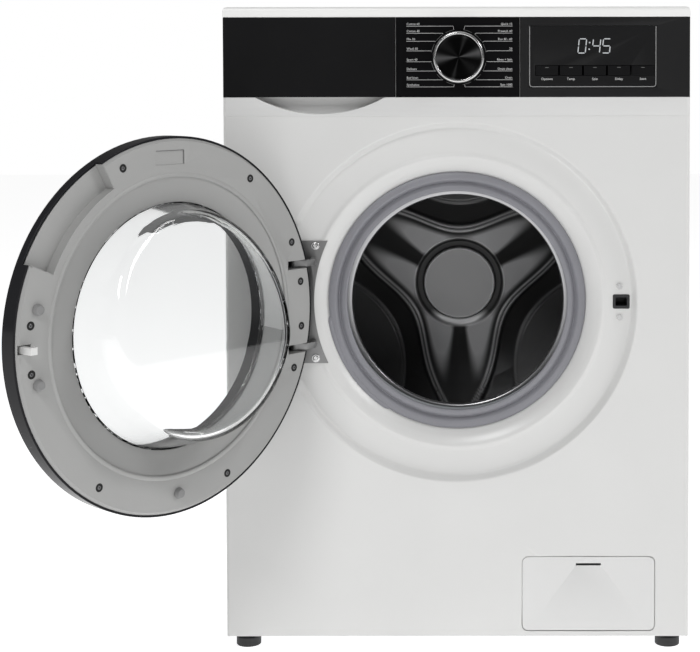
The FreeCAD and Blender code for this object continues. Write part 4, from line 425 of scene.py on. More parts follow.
def front_skin():
    """The front sheet, in four grids. Rings run out from the porthole to a rectangle, each point
    set back by the depth of the pressing there. Below it, rings run out from the flap's hole, whose
    edge turns inwards. A strip down each side is rolled back through a quarter circle."""
    edge_x = SIDE - 4
    split = 200.0 - PORTHOLE
    low, high = (-edge_x, split), (edge_x, PANEL_HIGH[2] - PORTHOLE - 0.6)
    steps = np.radians(np.arange(0, 360, 0.5))
    turned_corners = [a % (2 * math.pi) for a in corner_angles((0, 0), low, high)]
    angle = np.unique(np.concatenate([steps, turned_corners]))
    reach = ray_to_box(angle, (0, 0), low, high)
    levels = np.concatenate([
        [LIP + 0.2, LIP + 0.2, LIP + 0.5, LIP + 1.5], np.arange(LIP + 3, 186, 1.5),
        np.arange(186, 222, 2.0), np.arange(222, 233.1, 0.9),
    ])
    inner = levels[:, None] + angle[None] * 0
    share = np.linspace(0, 1, 45)[1:, None]
    outer = levels[-1] * (1 - share) + reach[None] * share
    radius = np.vstack([inner, outer])
    x, z = radius * np.cos(angle), radius * np.sin(angle)
    depth = pressing(x, z)
    depth[0] = LIP_DEPTH + 3
    depth[1] = LIP_DEPTH + 0.8
    depth[2] = LIP_DEPTH + 0.1
    rows, columns = radius.shape
    near_latch = (np.degrees(angle) < 1.49) | (np.degrees(angle) > 358.4)
    kept = np.ones((rows, columns), bool)
    slot_rows = (radius[:, 0] > 201.9) & (radius[:, 0] < 219.5)
    kept[np.ix_(slot_rows, near_latch)] = False
    grids = [(about_porthole(x, z, depth), kept)]

    hole_low = (83.0, 27.0 - PORTHOLE)
    hole_high = (254.0, 124.0 - PORTHOLE)
    centre = ((hole_low[0] + hole_high[0]) / 2, (hole_low[1] + hole_high[1]) / 2)
    low, high = (-edge_x, PANEL_LOW[2] + 0.6 - PORTHOLE), (edge_x, split)
    steps = np.radians(np.arange(0, 360, 2.0))
    corners = corner_angles(centre, low, high) + corner_angles(centre, hole_low, hole_high)
    angle = np.unique(np.concatenate([steps, [a % (2 * math.pi) for a in corners]]))
    round_by = 9.0
    hole = rounded_profile([
        (hole_high[0], hole_low[1]), hole_high, (hole_low[0], hole_high[1]), hole_low,
    ], round_by, steps=10)
    hole_angle = np.arctan2(hole[:, 1] - centre[1], hole[:, 0] - centre[0]) % (2 * math.pi)
    hole_reach = np.hypot(hole[:, 0] - centre[0], hole[:, 1] - centre[1])
    order = np.argsort(hole_angle)
    angle = np.unique(np.concatenate([angle, hole_angle]))
    edge_reach = np.minimum(
        np.interp(angle, hole_angle[order], hole_reach[order], period=2 * math.pi),
        ray_to_box(angle, centre, hole_low, hole_high),
    )
    reach = ray_to_box(angle, centre, low, high)
    shares = np.array([0, 0, 0, 0, 0, 0.004, 0.2, 0.6, 1.0])[:, None]
    radius = edge_reach * (1 - shares) + reach * shares
    radius[0] -= 1.3
    radius[3] += 0.15
    radius[4] += 0.5
    drop = np.array([1.3, 1.3, 0.6, 0.15, 0, 0, 0, 0, 0])[:, None] + angle * 0
    grids.append((about_porthole(
        centre[0] + radius * np.cos(angle), centre[1] + radius * np.sin(angle), drop), None))

    arc = np.linspace(0, math.pi / 2, 7)
    points, faces, count = [], [], 0
    for grid, kept in grids:
        rows, columns = grid.shape[:2]
        faces.append(grid_faces(rows, columns, False, True, count, kept))
        points.append(grid.reshape(-1, 3))
        count += rows * columns
    for sign in (-1, 1):
        across = np.concatenate([edge_x + 4 * np.sin(arc), [SIDE]]) * sign
        back = np.concatenate([4 - 4 * np.cos(arc), [15.0]])
        heights = np.linspace(PANEL_LOW[2], PANEL_HIGH[2], 3)
        strip = np.stack(np.broadcast_arrays(
            across[:, None], (FRONT + back)[:, None], heights[None]), -1)
        faces.append(grid_faces(len(across), 3, False, False, count))
        points.append(strip.reshape(-1, 3))
        count += strip.shape[0] * 3
        ends = PANEL_HIGH[2] if sign > 0 else PANEL_LOW[2]
        rise = ends - sign * 0.6 + sign * 0.6 * np.concatenate([np.sin(arc), [1]])
        back = np.concatenate([0.6 - 0.6 * np.cos(arc), [15.0]])
        strip = np.stack(np.broadcast_arrays(
            np.array([-edge_x, 0, edge_x])[None], (FRONT + back)[:, None], rise[:, None]), -1)
        faces.append(grid_faces(len(rise), 3, False, False, count))
        points.append(strip.reshape(-1, 3))
        count += strip.shape[0] * 3
    piece = build("front_skin", np.concatenate(points), np.concatenate(faces), enamel, "cabinet",
                  replaces=("front_panel",))
    mesh = piece.data
    normals = np.zeros(len(mesh.polygons) * 3)
    centres = np.zeros(len(mesh.polygons) * 3)
    mesh.polygons.foreach_get("normal", normals)
    mesh.polygons.foreach_get("center", centres)
    normals, centres = normals.reshape(-1, 3), centres.reshape(-1, 3)
    middle = np.array([0, (FRONT + 40) * MM, PORTHOLE * MM])
    away = centres - middle
    away[:, 0] *= (np.abs(centres[:, 0]) > edge_x * MM)
    away[:, 2] *= (np.abs(normals[:, 2]) > 0.9)
    wrong = (normals * away).sum(1) < 0
    work = bmesh.new()
    work.from_mesh(mesh)
    work.faces.ensure_lookup_table()
    bmesh.ops.reverse_faces(work, faces=[work.faces[int(i)] for i in np.nonzero(wrong)[0]])
    bmesh.ops.remove_doubles(work, verts=work.verts, dist=0.00001)
    work.to_mesh(mesh)
    work.free()
    return piece


front_skin()

# ---------------------------------------------------------------- door gasket

GASKET = rounded_profile([
    (166.0, 24.6), (166.4, 21.4), (163.0, 19.6), (157.0, 19.2), (154.4, 21.8), (152.6, 25.0),
    (150.8, 22.4), (148.4, 19.4), (143.4, 18.6), (141.4, 20.2), (142.4, 22.6), (148.0, 26.0),
    (155.0, 29.5), (156.0, 37.5), (147.5, 43.0), (147.0, 50.0), (154.2, 56.0), (154.2, 66.0),
    (157.2, 66.0), (157.4, 54.5), (150.5, 49.0), (151.0, 45.0), (159.6, 39.5), (160.0, 30.0),
    (162.6, 28.0), (162.6, 25.0),
], 2.2, steps=4)
turned("gasket_moulding", GASKET, gasket_rubber, "cabinet", about_porthole,
       around=256, replaces=("door_gasket",))


def clamp_cover():
    """The thick part over the clamp's spring: a rounded bar carried along an arc of the rim, its
    height fading to nothing over the first and last degrees."""
    angle = np.radians(np.linspace(187, 238, 70))
    ends = np.sin(np.pi * np.clip(np.minimum(angle - angle[0], angle[-1] - angle) / 0.09, 0, 0.5))
    around = np.linspace(0, 2 * math.pi, 16, endpoint=False)
    radius = 165.6 + 3.6 * np.cos(around)[None] * (0.25 + 0.75 * ends[:, None])
    depth = 22.4 + 3.0 * np.sin(around)[None] * (0.25 + 0.75 * ends[:, None])
    points = about_porthole(radius * np.cos(angle)[:, None], radius * np.sin(angle)[:, None], depth)
    faces = list(grid_faces(len(angle), 16, False, True))
    faces += [list(range(16)), [(len(angle) - 1) * 16 + i for i in range(16)]]
    face_outwards(build("gasket_clamp", points.reshape(-1, 3), faces, gasket_rubber, "cabinet"))


clamp_cover()

# ---------------------------------------------------------------- drum

DRUM_END = DRUM_HIGH[1]
DRUM_RADIUS = (DRUM_HIGH[0] - DRUM_LOW[0]) / 2


def about_drum(a, b, n):
    """Points given across, up from the drum's axis and along it, in the frame."""
    return np.stack(np.broadcast_arrays(a, n, DRUM_AXIS + b), axis=-1)


def star_pressing():
    """Height of the drum's rear wall at each radius and angle, and the painted highlights and shade
    laid into its colour. A raised hub stands in a groove. From it a cone falls away to the rim.
    Three arcs, each the curve 74 + 33 (1 - exp(-(across / 75)^2)) mm above the axis, cut it into
    spokes: a pair of beads runs along each arc and the ground beyond is sunk, up to a second,
    raised panel. Painted highlights: lobes beside the spokes, the beads, the panel's edge, the hub's
    rim and a glint below the hub; painted shade: the sunk ground and the groove."""
    angle = np.radians(np.arange(0, 360, 0.75))
    radius = np.concatenate([
        [0.0], np.linspace(8, 44, 6), np.arange(45, 66, 0.8), np.arange(66, 160, 1.5),
        np.arange(160, DRUM_RADIUS - 1, 4.0), [DRUM_RADIUS - 1.2],
    ])
    r, t = np.meshgrid(radius, angle, indexing="ij")
    height = np.interp(r, [0, 64, 150, 200, 236], [42, 42, 17, 9, 7])
    painted_sheen = np.full_like(r, 0.05)
    from_spoke = np.degrees(np.abs((t - math.radians(30) + math.pi / 3) % (2 * math.pi / 3)
                                   - math.pi / 3))
    from_arc = np.full_like(r, -200.0)
    from_panel = np.full_like(r, -200.0)
    for middle in (90, 210, 330):
        across = r * np.sin(t - math.radians(middle))
        above = r * np.cos(t - math.radians(middle))
        beyond = above - 74 - 33 * (1 - np.exp(-(across / 75) ** 2))
        from_arc = np.where(above > 0, np.maximum(from_arc, beyond), from_arc)
        panel = above - 112 - 7.5 * (across / 42) ** 2
        from_panel = np.where(above > 0, np.maximum(from_panel, panel), from_panel)
    sunk = smooth_step(5, 12, from_arc)
    raised = smooth_step(-1, 5, from_panel)
    beads = bump_at(from_arc, 0, 1.5) + bump_at(from_arc, 5.6, 1.5)
    edge = bump_at(from_panel, 0.5, 1.6)
    wedge = bump_at(from_spoke, 0, 7.0) * smooth_step(60, 80, r)
    height += -10 * sunk + 8 * raised * sunk + 1.6 * beads + 1.0 * edge - 4.0 * wedge
    # painted highlight: bright lobes either side of each spoke, fading outwards
    painted_lobe = smooth_step(5.5, 13, from_spoke) * (1 - smooth_step(-16, -4, from_arc))
    painted_lobe *= smooth_step(60, 70, r) * (1 - smooth_step(125, 165, r))
    painted_sheen += 1.5 * painted_lobe * (1 - 0.8 * smooth_step(70, 150, r))
    # painted shade: the sunk ground darker, the raised panel in it a little lighter
    painted_sheen = painted_sheen * (1 - sunk) + sunk * (0.05 + 0.14 * raised)
    # painted highlights along the beads and the panel's edge
    painted_sheen += 0.75 * beads * (1 - smooth_step(120, 175, r) * 0.5) + 0.35 * edge
    hub = smooth_step(51.5, 48.5, r)
    groove = smooth_step(48.5, 52, r) * (1 - smooth_step(58, 65, r))
    height = np.where(r < 53, 42 - 3 + 9 * smooth_step(52.5, 49.5, r), height - 3 * groove)
    # painted highlight: a glint on the groove's lower side, below the hub
    painted_glint = smooth_step(48, 18, np.degrees(np.abs((t + math.pi / 2 + math.pi) % (2 * math.pi)
                                                    - math.pi))) * bump_at(r, 57.0, 4.0)
    # painted shade in the groove, with the painted glint added
    painted_sheen = painted_sheen * (1 - groove) + 0.01 * groove + 1.3 * painted_glint
    painted_sheen = np.where(r < 50.5, 0.42, painted_sheen)
    # painted highlight: a bright line round the hub's rim
    rim = bump_at(r, 50.0, 1.3)
    painted_sheen = painted_sheen + rim * 0.75
    return angle, radius, r, t, height, np.clip(painted_sheen, 0.02, 1), hub


def drum_star():
    """The drum's rear wall: the pressing's height at each radius and angle, measured from the
    drum's end towards the front, with its painted highlights and shade kept as a colour attribute."""
    _, _, r, t, height, painted_sheen, _ = star_pressing()
    y = DRUM_END - height
    front = about_drum(r * np.cos(t), r * np.sin(t), y)
    rows, columns = r.shape
    piece = build("drum_star", front.reshape(-1, 3), grid_faces(rows, columns, False, True),
                  drum_star_steel, "drum", attribute=("painted_sheen", painted_sheen),
                  replaces=("drum_back",))
    work = bmesh.new()
    work.from_mesh(piece.data)
    bmesh.ops.remove_doubles(work, verts=work.verts, dist=0.000001)
    bmesh.ops.recalc_face_normals(work, faces=work.faces)
    if sum(face.normal.y for face in work.faces) > 0:
        bmesh.ops.reverse_faces(work, faces=work.faces)
    work.to_mesh(piece.data)
    work.free()
    thick = piece.modifiers.new("sheet", "SOLIDIFY")
    thick.thickness = 0.0008
    thick.offset = -1
    return piece


drum_star()

MOUTH = 140.0
front_y = DRUM_LOW[1]
SHELL = rounded_profile([
    (MOUTH, front_y + 9), (MOUTH, front_y + 1), (MOUTH + 6, front_y + 0.2),
    (DRUM_RADIUS - 3, front_y + 0.2), (DRUM_RADIUS, front_y + 6), (DRUM_RADIUS, DRUM_END),
    (DRUM_RADIUS - 1, DRUM_END), (DRUM_RADIUS - 1, front_y + 6.6), (DRUM_RADIUS - 4, front_y + 1.4),
    (MOUTH + 5.5, front_y + 1.4), (MOUTH + 1.4, front_y + 2.6), (MOUTH + 1.4, front_y + 9),
], 3.0, steps=5)
turned("drum_wrap", SHELL, drum_wall_steel, "drum", about_drum, around=240,
       replaces=("drum_shell",))


def drum_eyelets():
    """Holes of the drum wall: small eight-sided dimples, a ring and a sunk middle each, in rows
    that step by half a pitch, left out where the three lifters stand."""
    pitch_angle = math.radians(3.0)
    rows = np.arange(front_y + 22, DRUM_END - 14, 13.0)
    points, faces = [], []
    corner = np.arange(8) * math.pi / 4
    ring = np.concatenate([
        np.stack([2.6 * np.cos(corner), 2.6 * np.sin(corner), 0.1 + 0 * corner], 1),
        np.stack([1.9 * np.cos(corner), 1.9 * np.sin(corner), 0.7 + 0 * corner], 1),
        np.stack([1.5 * np.cos(corner), 1.5 * np.sin(corner), 0.15 + 0 * corner], 1),
    ])
    pattern = [[i, (i + 1) % 8, 8 + (i + 1) % 8, 8 + i] for i in range(8)]
    pattern += [[8 + i, 8 + (i + 1) % 8, 16 + (i + 1) % 8, 16 + i] for i in range(8)]
    pattern += [[16 + i for i in range(8)], [7 - i for i in range(8)]]
    for index, y in enumerate(rows):
        angle = np.arange(120) * pitch_angle + (index % 2) * pitch_angle / 2
        from_lifter = np.abs((angle - math.radians(30) + math.pi / 3) % (2 * math.pi / 3)
                             - math.pi / 3)
        angle = angle[from_lifter > math.radians(9)]
        radius = DRUM_RADIUS - 1 - ring[:, 2]
        turn = angle[:, None] + ring[:, 0][None] / DRUM_RADIUS
        spot = about_drum(radius * np.cos(turn), radius * np.sin(turn), y + ring[:, 1] + turn * 0)
        first = sum(len(p) for p in points)
        points.append(spot.reshape(-1, 3))
        for k in range(len(angle)):
            faces += [[first + k * 24 + c for c in face] for face in pattern]
    return face_outwards(build("drum_eyelets", np.concatenate(points), faces, drum_wall_steel,
                               "drum", sharp=35))


drum_eyelets()
softened("drum_lifters", lifter_plastic, width=6, segments=4)

# ---------------------------------------------------------------- glass bowl


def glass_bowl():
    """The bowl's outer and inner face. At each angle a line runs down the tapered wall, turns
    through a rounded corner and crosses the end. The end is flat below the crease; above it the
    end falls away by the tangent of the slope, with the two blended across a few millimetres."""
    slope, crease = math.tan(math.radians(15.9)), -21.0
    angle = np.radians(np.arange(0, 360, 1.25))

    def end_height(x, z, floor):
        """How far the end reaches: the floor, less the slope's fall above the crease."""
        rise = z - crease
        soft = 3.5
        over = soft * np.log1p(np.exp(np.clip(rise / soft, -40, 40)))
        return floor - slope * over

    def shell(wall, floor, start, rim, round_by):
        """One face of the bowl: the wall down to the rounded corner, then the end."""
        c, s = np.cos(angle), np.sin(angle)
        reach = 74.5
        base = rim - wall

        def wall_radius(n):
            """The wall's radius at a depth, from its straight taper."""
            return base - (n + 6.5) * (144.0 - 123.0) / reach

        meet_n = np.full_like(angle, 40.0)
        for _ in range(30):
            radius = wall_radius(meet_n)
            meet_n = end_height(radius * c, radius * s, floor)
        meet_r = wall_radius(meet_n)
        down = np.linspace(0, 1, 18)[:, None]
        side_end = meet_n - round_by
        side_n = start + (side_end - start) * down
        side_r = wall_radius(side_n)
        t = np.linspace(0, 1, 9)[1:-1, None]
        inner_r = meet_r - round_by * 1.1
        inner_n = end_height(inner_r * c, inner_r * s, floor)
        corner_r = (1 - t) ** 2 * side_r[-1] + 2 * t * (1 - t) * meet_r + t * t * inner_r
        corner_n = (1 - t) ** 2 * side_n[-1] + 2 * t * (1 - t) * meet_n + t * t * inner_n
        share = np.linspace(1, 0, 46)[:, None]
        end_r = inner_r * share
        end_n = end_height(end_r * c, end_r * s, floor)
        return np.vstack([side_r, corner_r, end_r]), np.vstack([side_n, corner_n, end_n])

    outer_r, outer_n = shell(0.0, 68.0, -6.0, 144.0, 9.0)
    inner_r, inner_n = shell(6.0, 62.0, -11.0, 144.0, 7.0)
    lip = np.array([(138.6, -11.0), (151.0, -11.0), (157.0, -10.0), (158.0, -8.8), (157.0, -7.2),
                    (148.0, -6.8), (144.6, -6.4)])
    lip_r = lip[:, 0][:, None] + angle * 0
    lip_n = lip[:, 1][:, None] + angle * 0
    r = np.vstack([inner_r[::-1], lip_r, outer_r])
    n = np.vstack([inner_n[::-1], lip_n, outer_n])
    points = on_open_door(r * np.cos(angle), r * np.sin(angle), n)
    faces = grid_faces(r.shape[0], r.shape[1], False, True)
    return face_outwards(build("glass_bowl", points.reshape(-1, 3), faces, bowl_glass, "door",
                               replaces=("door_glass",)))


glass_bowl()

# ---------------------------------------------------------------- door frame, rim and fittings

softened("door_outer_ring", door_black, width=1.0, segments=3)
softened("door_inner_frame", door_grey, width=0.7, segments=2)
softened("latch_hook", hook_steel, width=0.7, segments=2)
softened("hinge_bracket", zinc, width=0.6, segments=2)
softened("door_bumpers", bumper_rubber, width=1.2, segments=3)

SCREW = rounded_profile([
    (0.05, 1.2), (0.9, 1.2), (1.3, 0.25), (2.3, 0.35), (3.5, 1.0), (3.8, 1.6), (3.8, 2.6),
    (0.05, 2.6),
], 0.35, closed=False, steps=2)


def screws(name, spots, body, place, scale=1.0, lift=0.0, replaces=(), material=screw_steel):
    """Pan heads with a socket: one small profile turned about each spot's own axis."""
    around = 18
    angle = np.linspace(0, 2 * math.pi, around, endpoint=False)
    points, faces = [], []
    for number, (a, b, n) in enumerate(spots):
        radius = SCREW[:, 0][:, None] * scale
        depth = n + lift + SCREW[:, 1][:, None] * scale + angle * 0
        spot = place(a + radius * np.cos(angle), b + radius * np.sin(angle), depth)
        faces.append(grid_faces(len(SCREW), around, False, True, number * len(SCREW) * around))
        points.append(spot.reshape(-1, 3))
    piece = build(name, np.concatenate(points), np.concatenate(faces), material, body,
                  replaces=replaces)
    return face_outwards(piece)


def mirrored_door(a, b, n):
    """The door's inner face looks towards the drum, so its screw heads point that way."""
    return on_open_door(a, b, -n)


SCREW_ANGLES = np.radians([68, 125, 156, 171, 187, 202, 248, 304, 352, 7])
SCREW_SPOTS = [(203 * math.cos(a), 203 * math.sin(a)) for a in SCREW_ANGLES]
screws("door_screw_heads", [(a, b, 0.0) for a, b in SCREW_SPOTS], "door", mirrored_door,
       scale=0.72, lift=-0.7, replaces=("door_screws",), material=dark_steel)


def discs(name, spots, radius, material, body, place, proud=0.12):
    """Thin round discs: each is a circle of points at two depths with both ends closed."""
    around = np.linspace(0, 2 * math.pi, 24, endpoint=False)
    points, faces = [], []
    for number, (a, b) in enumerate(spots):
        first = number * 48
        for depth in (-proud, 0.05):
            points.append(place(a + radius * np.cos(around), b + radius * np.sin(around),
                                depth + around * 0))
        faces += [[first + i, first + (i + 1) % 24, first + 24 + (i + 1) % 24, first + 24 + i]
                  for i in range(24)]
        faces += [[first + i for i in range(24)], [first + 47 - i for i in range(24)]]
    return face_outwards(build(name, np.concatenate(points), faces, material, body,
                               smooth=False))


# painted shade: near-black discs standing for the darkness inside the screw wells
discs("door_screw_well_shade", SCREW_SPOTS, 4.9, near_black_hole_shade, "door", mirrored_door)
turned("door_frame_bead", rounded_profile([
    (173.4, -0.6), (175.2, 1.0), (178.0, 1.0), (180.6, -0.6),
], 1.2, steps=4), door_grey, "door", on_open_door, around=256)


def grip_ends():
    """Linings of the grip's two end walls: thin plates standing on the radii at the grip angles."""
    points, faces = [], []
    for number, (angle, inward) in enumerate(((24.0, 1), (62.0, -1))):
        along = np.array([math.cos(math.radians(angle)), math.sin(math.radians(angle))])
        across = np.array([-along[1], along[0]]) * inward
        first = number * 8
        for radius in (188.2, 219.4):
            for depth in (-13.6, -0.2):
                for offset in (0.1, 0.7):
                    a, b = along * radius + across * offset
                    points.append(on_open_door(a, b, depth))
        faces += [[first + i for i in face] for face in (
            (0, 1, 3, 2), (4, 6, 7, 5), (0, 4, 5, 1), (2, 3, 7, 6), (0, 2, 6, 4), (1, 5, 7, 3))]
    return face_outwards(build("grip_ends", np.array(points), faces, door_grey, "door",
                               smooth=False))


grip_ends()
screws("hinge_screw_heads", [(-181.5, 72.5, 5.4), (-181.5, -72.5, 5.4)], "cabinet",
       about_porthole, scale=1.5)
screws("lock_screw_heads", [(208.5, 20, 8.9), (208.5, -20, 8.9)], "cabinet", about_porthole,
       scale=0.62, material=near_black_hole_shade)


def latch_frame():
    """Plastic frame round the latch's slot: a rounded outline carried outwards from the hole's
    edge, over the top and down to the dish's floor."""
    centre = (211.0, 0.0)
    loops = []
    for half_x, half_z, round_by, depth in (
        (7.2, 5.2, 1.0, 18.0), (7.2, 5.2, 1.0, 9.4), (7.6, 5.6, 1.2, 8.9), (10.2, 8.6, 2.0, 8.9),
        (10.8, 9.2, 2.4, 9.5), (10.8, 9.2, 2.4, 10.4),
    ):
        loop = rounded_profile([(half_x, -half_z), (half_x, half_z), (-half_x, half_z),
                                (-half_x, -half_z)], round_by, steps=5)
        loops.append(about_porthole(centre[0] + loop[:, 0], centre[1] + loop[:, 1],
                                    depth + loop[:, 0] * 0))
    points = np.array(loops)
    piece = build("latch_frame", points.reshape(-1, 3),
                  grid_faces(points.shape[0], points.shape[1], False, True), lock_plastic,
                  "cabinet", sharp=40)
    return face_outwards(piece)


latch_frame()

# ---------------------------------------------------------------- control panel

softened("drawer_front", black_gloss, width=0.5, segments=2)
softened("knob_panel", dial_gloss, width=0.25, segments=2)
softened("display_panel", smoked_gloss, width=0.3, segments=2)
softened("display_window", pane_gloss, width=0.25, segments=2)
softened("fascia_carrier", white_plastic, width=0.6, segments=2)
for index in range(1, 6):
    softened("button_%d" % index, button_gloss, width=0.5, segments=2)


def at_front(a, b, n):
    """Places by distance right of and above the row's origin, and depth behind the front face."""
    return np.stack(np.broadcast_arrays(a, FRONT + n, b), axis=-1)


def knob_face():
    """The knob's top: rings of points whose colour carries a painted reflection that turns with the
    angle, of the kind lathe marks give, brightest in two opposite sectors and weaker in two more."""
    angle = np.radians(np.arange(0, 360, 1.5))
    profile = rounded_profile([
        (0.0, -19.0), (27.6, -19.2), (28.6, -18.6),
    ], 0.6, closed=False, steps=3)
    radius = np.concatenate([np.linspace(0.3, 26, 14), profile[profile[:, 0] > 26.5][:, 0]])
    depth = np.concatenate([-19.0 - 0 * np.linspace(0.3, 26, 14),
                            profile[profile[:, 0] > 26.5][:, 1]])
    degrees = np.degrees(angle)

    def sector(at, width):
        """A painted bright fan about one angle that fades away as a bell curve."""
        away = np.abs((degrees - at + 180) % 360 - 180)
        return np.exp(-(away / width) ** 2)

    # painted reflection: two bright fans, two weaker ones and two faint ones
    painted_sheen = 0.012 + 0.30 * (sector(184, 11) + sector(12, 11)) + 0.07 * (
        sector(255, 5) + sector(72, 6)) + 0.03 * (sector(140, 16) + sector(320, 16))
    r, s = np.meshgrid(radius, painted_sheen, indexing="ij")
    # painted highlight, a little brighter towards the rim
    shade = s * (0.75 + 0.25 * r / 28)
    points = at_front(KNOB_X + r * np.cos(angle), KNOB_Z + r * np.sin(angle),
                      depth[:, None] + 0 * r)
    faces = list(grid_faces(len(radius), len(angle), False, True))
    faces.append(list(range(len(angle))))
    piece = build("knob_face", points.reshape(-1, 3), faces, spun_metal, "knob",
                  attribute=("painted_sheen", shade))
    work = bmesh.new()
    work.from_mesh(piece.data)
    bmesh.ops.recalc_face_normals(work, faces=work.faces)
    if sum(face.normal.y for face in work.faces) > 0:
        bmesh.ops.reverse_faces(work, faces=work.faces)
    work.to_mesh(piece.data)
    work.free()
    return piece


knob_face()
turned("knob_body", rounded_profile([
    (28.4, -18.4), (29.2, -17.6), (KNOB_RADIUS - 1.2, -16.8), (KNOB_RADIUS - 0.4, -14.0),
    (KNOB_RADIUS, -0.8), (3.0, -0.6), (3.0, 9.0), (0.5, 9.0), (0.5, -15.0), (28.4, -15.0),
], 0.5, steps=3), button_gloss, "knob", at_front, centre=(KNOB_X, KNOB_Z),
    around=128, replaces=("selector_knob",), sharp=40)
turned("knob_ring", rounded_profile([
    (28.6, -18.7), (29.2, -19.6), (31.2, -19.6), (32.4, -18.2), (32.4, -16.4), (28.6, -16.4),
], 0.7, steps=4), chrome, "knob", at_front, centre=(KNOB_X, KNOB_Z), around=160)


def print_and_painted_light_bars(name, bars, material, body="cabinet", proud=0.06, front=0.0,
               place=at_front):
    """Thin bars: each is the box round a straight line of the given width. They draw print and the
    display's colon, and also painted shade and painted highlight lines.
    """
    points, faces = [], []
    for number, (x0, z0, x1, z1, width) in enumerate(bars):
        run = np.array([x1 - x0, z1 - z0], float)
        run /= np.linalg.norm(run)
        side = np.array([-run[1], run[0]]) * width / 2
        flat = [(x0 - side[0], z0 - side[1]), (x1 - side[0], z1 - side[1]),
                (x1 + side[0], z1 + side[1]), (x0 + side[0], z0 + side[1])]
        for depth in (front - proud, front + 0.02):
            points += [place(x, z, depth) for x, z in flat]
        f = number * 8
        faces += [[f, f + 1, f + 2, f + 3], [f + 7, f + 6, f + 5, f + 4],
                  [f, f + 4, f + 5, f + 1], [f + 1, f + 5, f + 6, f + 2],
                  [f + 2, f + 6, f + 7, f + 3], [f + 3, f + 7, f + 4, f]]
    piece = build(name, np.array(points), faces, material, body, smooth=False)
    return face_outwards(piece)


def lettering(name, entries, material, body="cabinet", proud=0.06, front=0.0):
    """Small printed words and numbers, each set from its own left, middle or right end."""
    points, faces, count = [], [], 0
    for text, x, z, size, align in entries:
        curve = bpy.data.curves.new("word", "FONT")
        curve.body = text
        curve.size = size
        curve.align_x = align
        curve.align_y = "CENTER"
        curve.resolution_u = 2
        curve.extrude = 0.04
        holder = bpy.data.objects.new("word", curve)
        bpy.context.scene.collection.objects.link(holder)
        bpy.context.view_layer.update()
        shape = bpy.data.meshes.new_from_object(
            holder.evaluated_get(bpy.context.evaluated_depsgraph_get()))
        flat = np.array([v.co for v in shape.vertices]).reshape(-1, 3)
        points.append(np.stack([x + flat[:, 0], FRONT + front - proud - flat[:, 2] + 0.02,
                                z + flat[:, 1]], 1))
        faces += [[count + i for i in p.vertices] for p in shape.polygons]
        count += len(flat)
        bpy.data.objects.remove(holder)
        bpy.data.curves.remove(curve)
        bpy.data.meshes.remove(shape)
    return build(name, np.concatenate(points), faces, material, body, smooth=False)


label_low, label_high, label_left, label_right = 189.4, 205.6, -12.6, 28.6
# painted shade: dark lines along the label recess's top and left edges, where its wall throws shade
print_and_painted_light_bars("label_recess_shade", [
    (label_left, label_high, label_right, label_high, 0.9),
    (label_left, label_low, label_left, label_high, 0.9),
], recess_shade_grey, body="door", place=mirrored_door, proud=0.1)
ROWS = (805.4, 796.4, 786.2, 774.0, 760.2, 748.4, 737.2, 728.2)
LEFT_ENDS = (-4.0, -17.6, -26.9, -32.2, -32.2, -26.6, -17.6, -3.4)
RIGHT_ENDS = (10.6, 24.8, 35.3, 40.8, 40.8, 34.6, 25.6, 10.9)
LEFT_WORDS = ("Cotton 60", "Cotton 40", "Mix 30", "Wool 30", "Sport 40", "Delicate", "Bed linen",
              "Synthetics")
RIGHT_WORDS = ("Quick 15", "Prewash 60", "Eco 40 - 60", "20", "Rinse + Spin", "Drum clean", "Drain",
               "Spin 1000")
dial_bars = []
dial_words = []
for row, left, right, first, last in zip(ROWS, LEFT_ENDS, RIGHT_ENDS, LEFT_WORDS, RIGHT_WORDS):
    dial_bars.append((-63.5, row, left, row, 0.45))
    dial_bars.append((right, row, 71.3, row, 0.45))
    for end in (left, right):
        across, up = KNOB_X - end, KNOB_Z - row
        length = math.hypot(across, up)
        stop = max(length - (KNOB_RADIUS + 2.6), 0.5) / length
        dial_bars.append((end, row, end + across * stop, row + up * stop, 0.45))
    dial_words.append((first, -63.3, row + 2.6, 3.9, "LEFT"))
    dial_words.append((last, 71.1, row + 2.6, 3.9, "RIGHT"))
print_and_painted_light_bars("dial_lines", dial_bars, print_white)
lettering("dial_words", dial_words, print_white)
arc_bars = []
for start, stop in ((100, 118), (62, 80), (126, 144), (36, 54), (152, 170), (10, 28), (192, 210),
                    (218, 236), (304, 322), (330, 348), (244, 262), (278, 296)):
    steps = np.radians(np.linspace(start, stop, 5))
    ring = KNOB_RADIUS + 2.2
    for one, two in zip(steps[:-1], steps[1:]):
        arc_bars.append((KNOB_X + ring * math.cos(one), KNOB_Z + ring * math.sin(one),
                         KNOB_X + ring * math.cos(two), KNOB_Z + ring * math.sin(two), 0.5))
print_and_painted_light_bars("dial_arcs", arc_bars, print_grey)

WINDOW_LOW, WINDOW_HIGH = node_box("display_window")
PANE = WINDOW_LOW[1] - FRONT


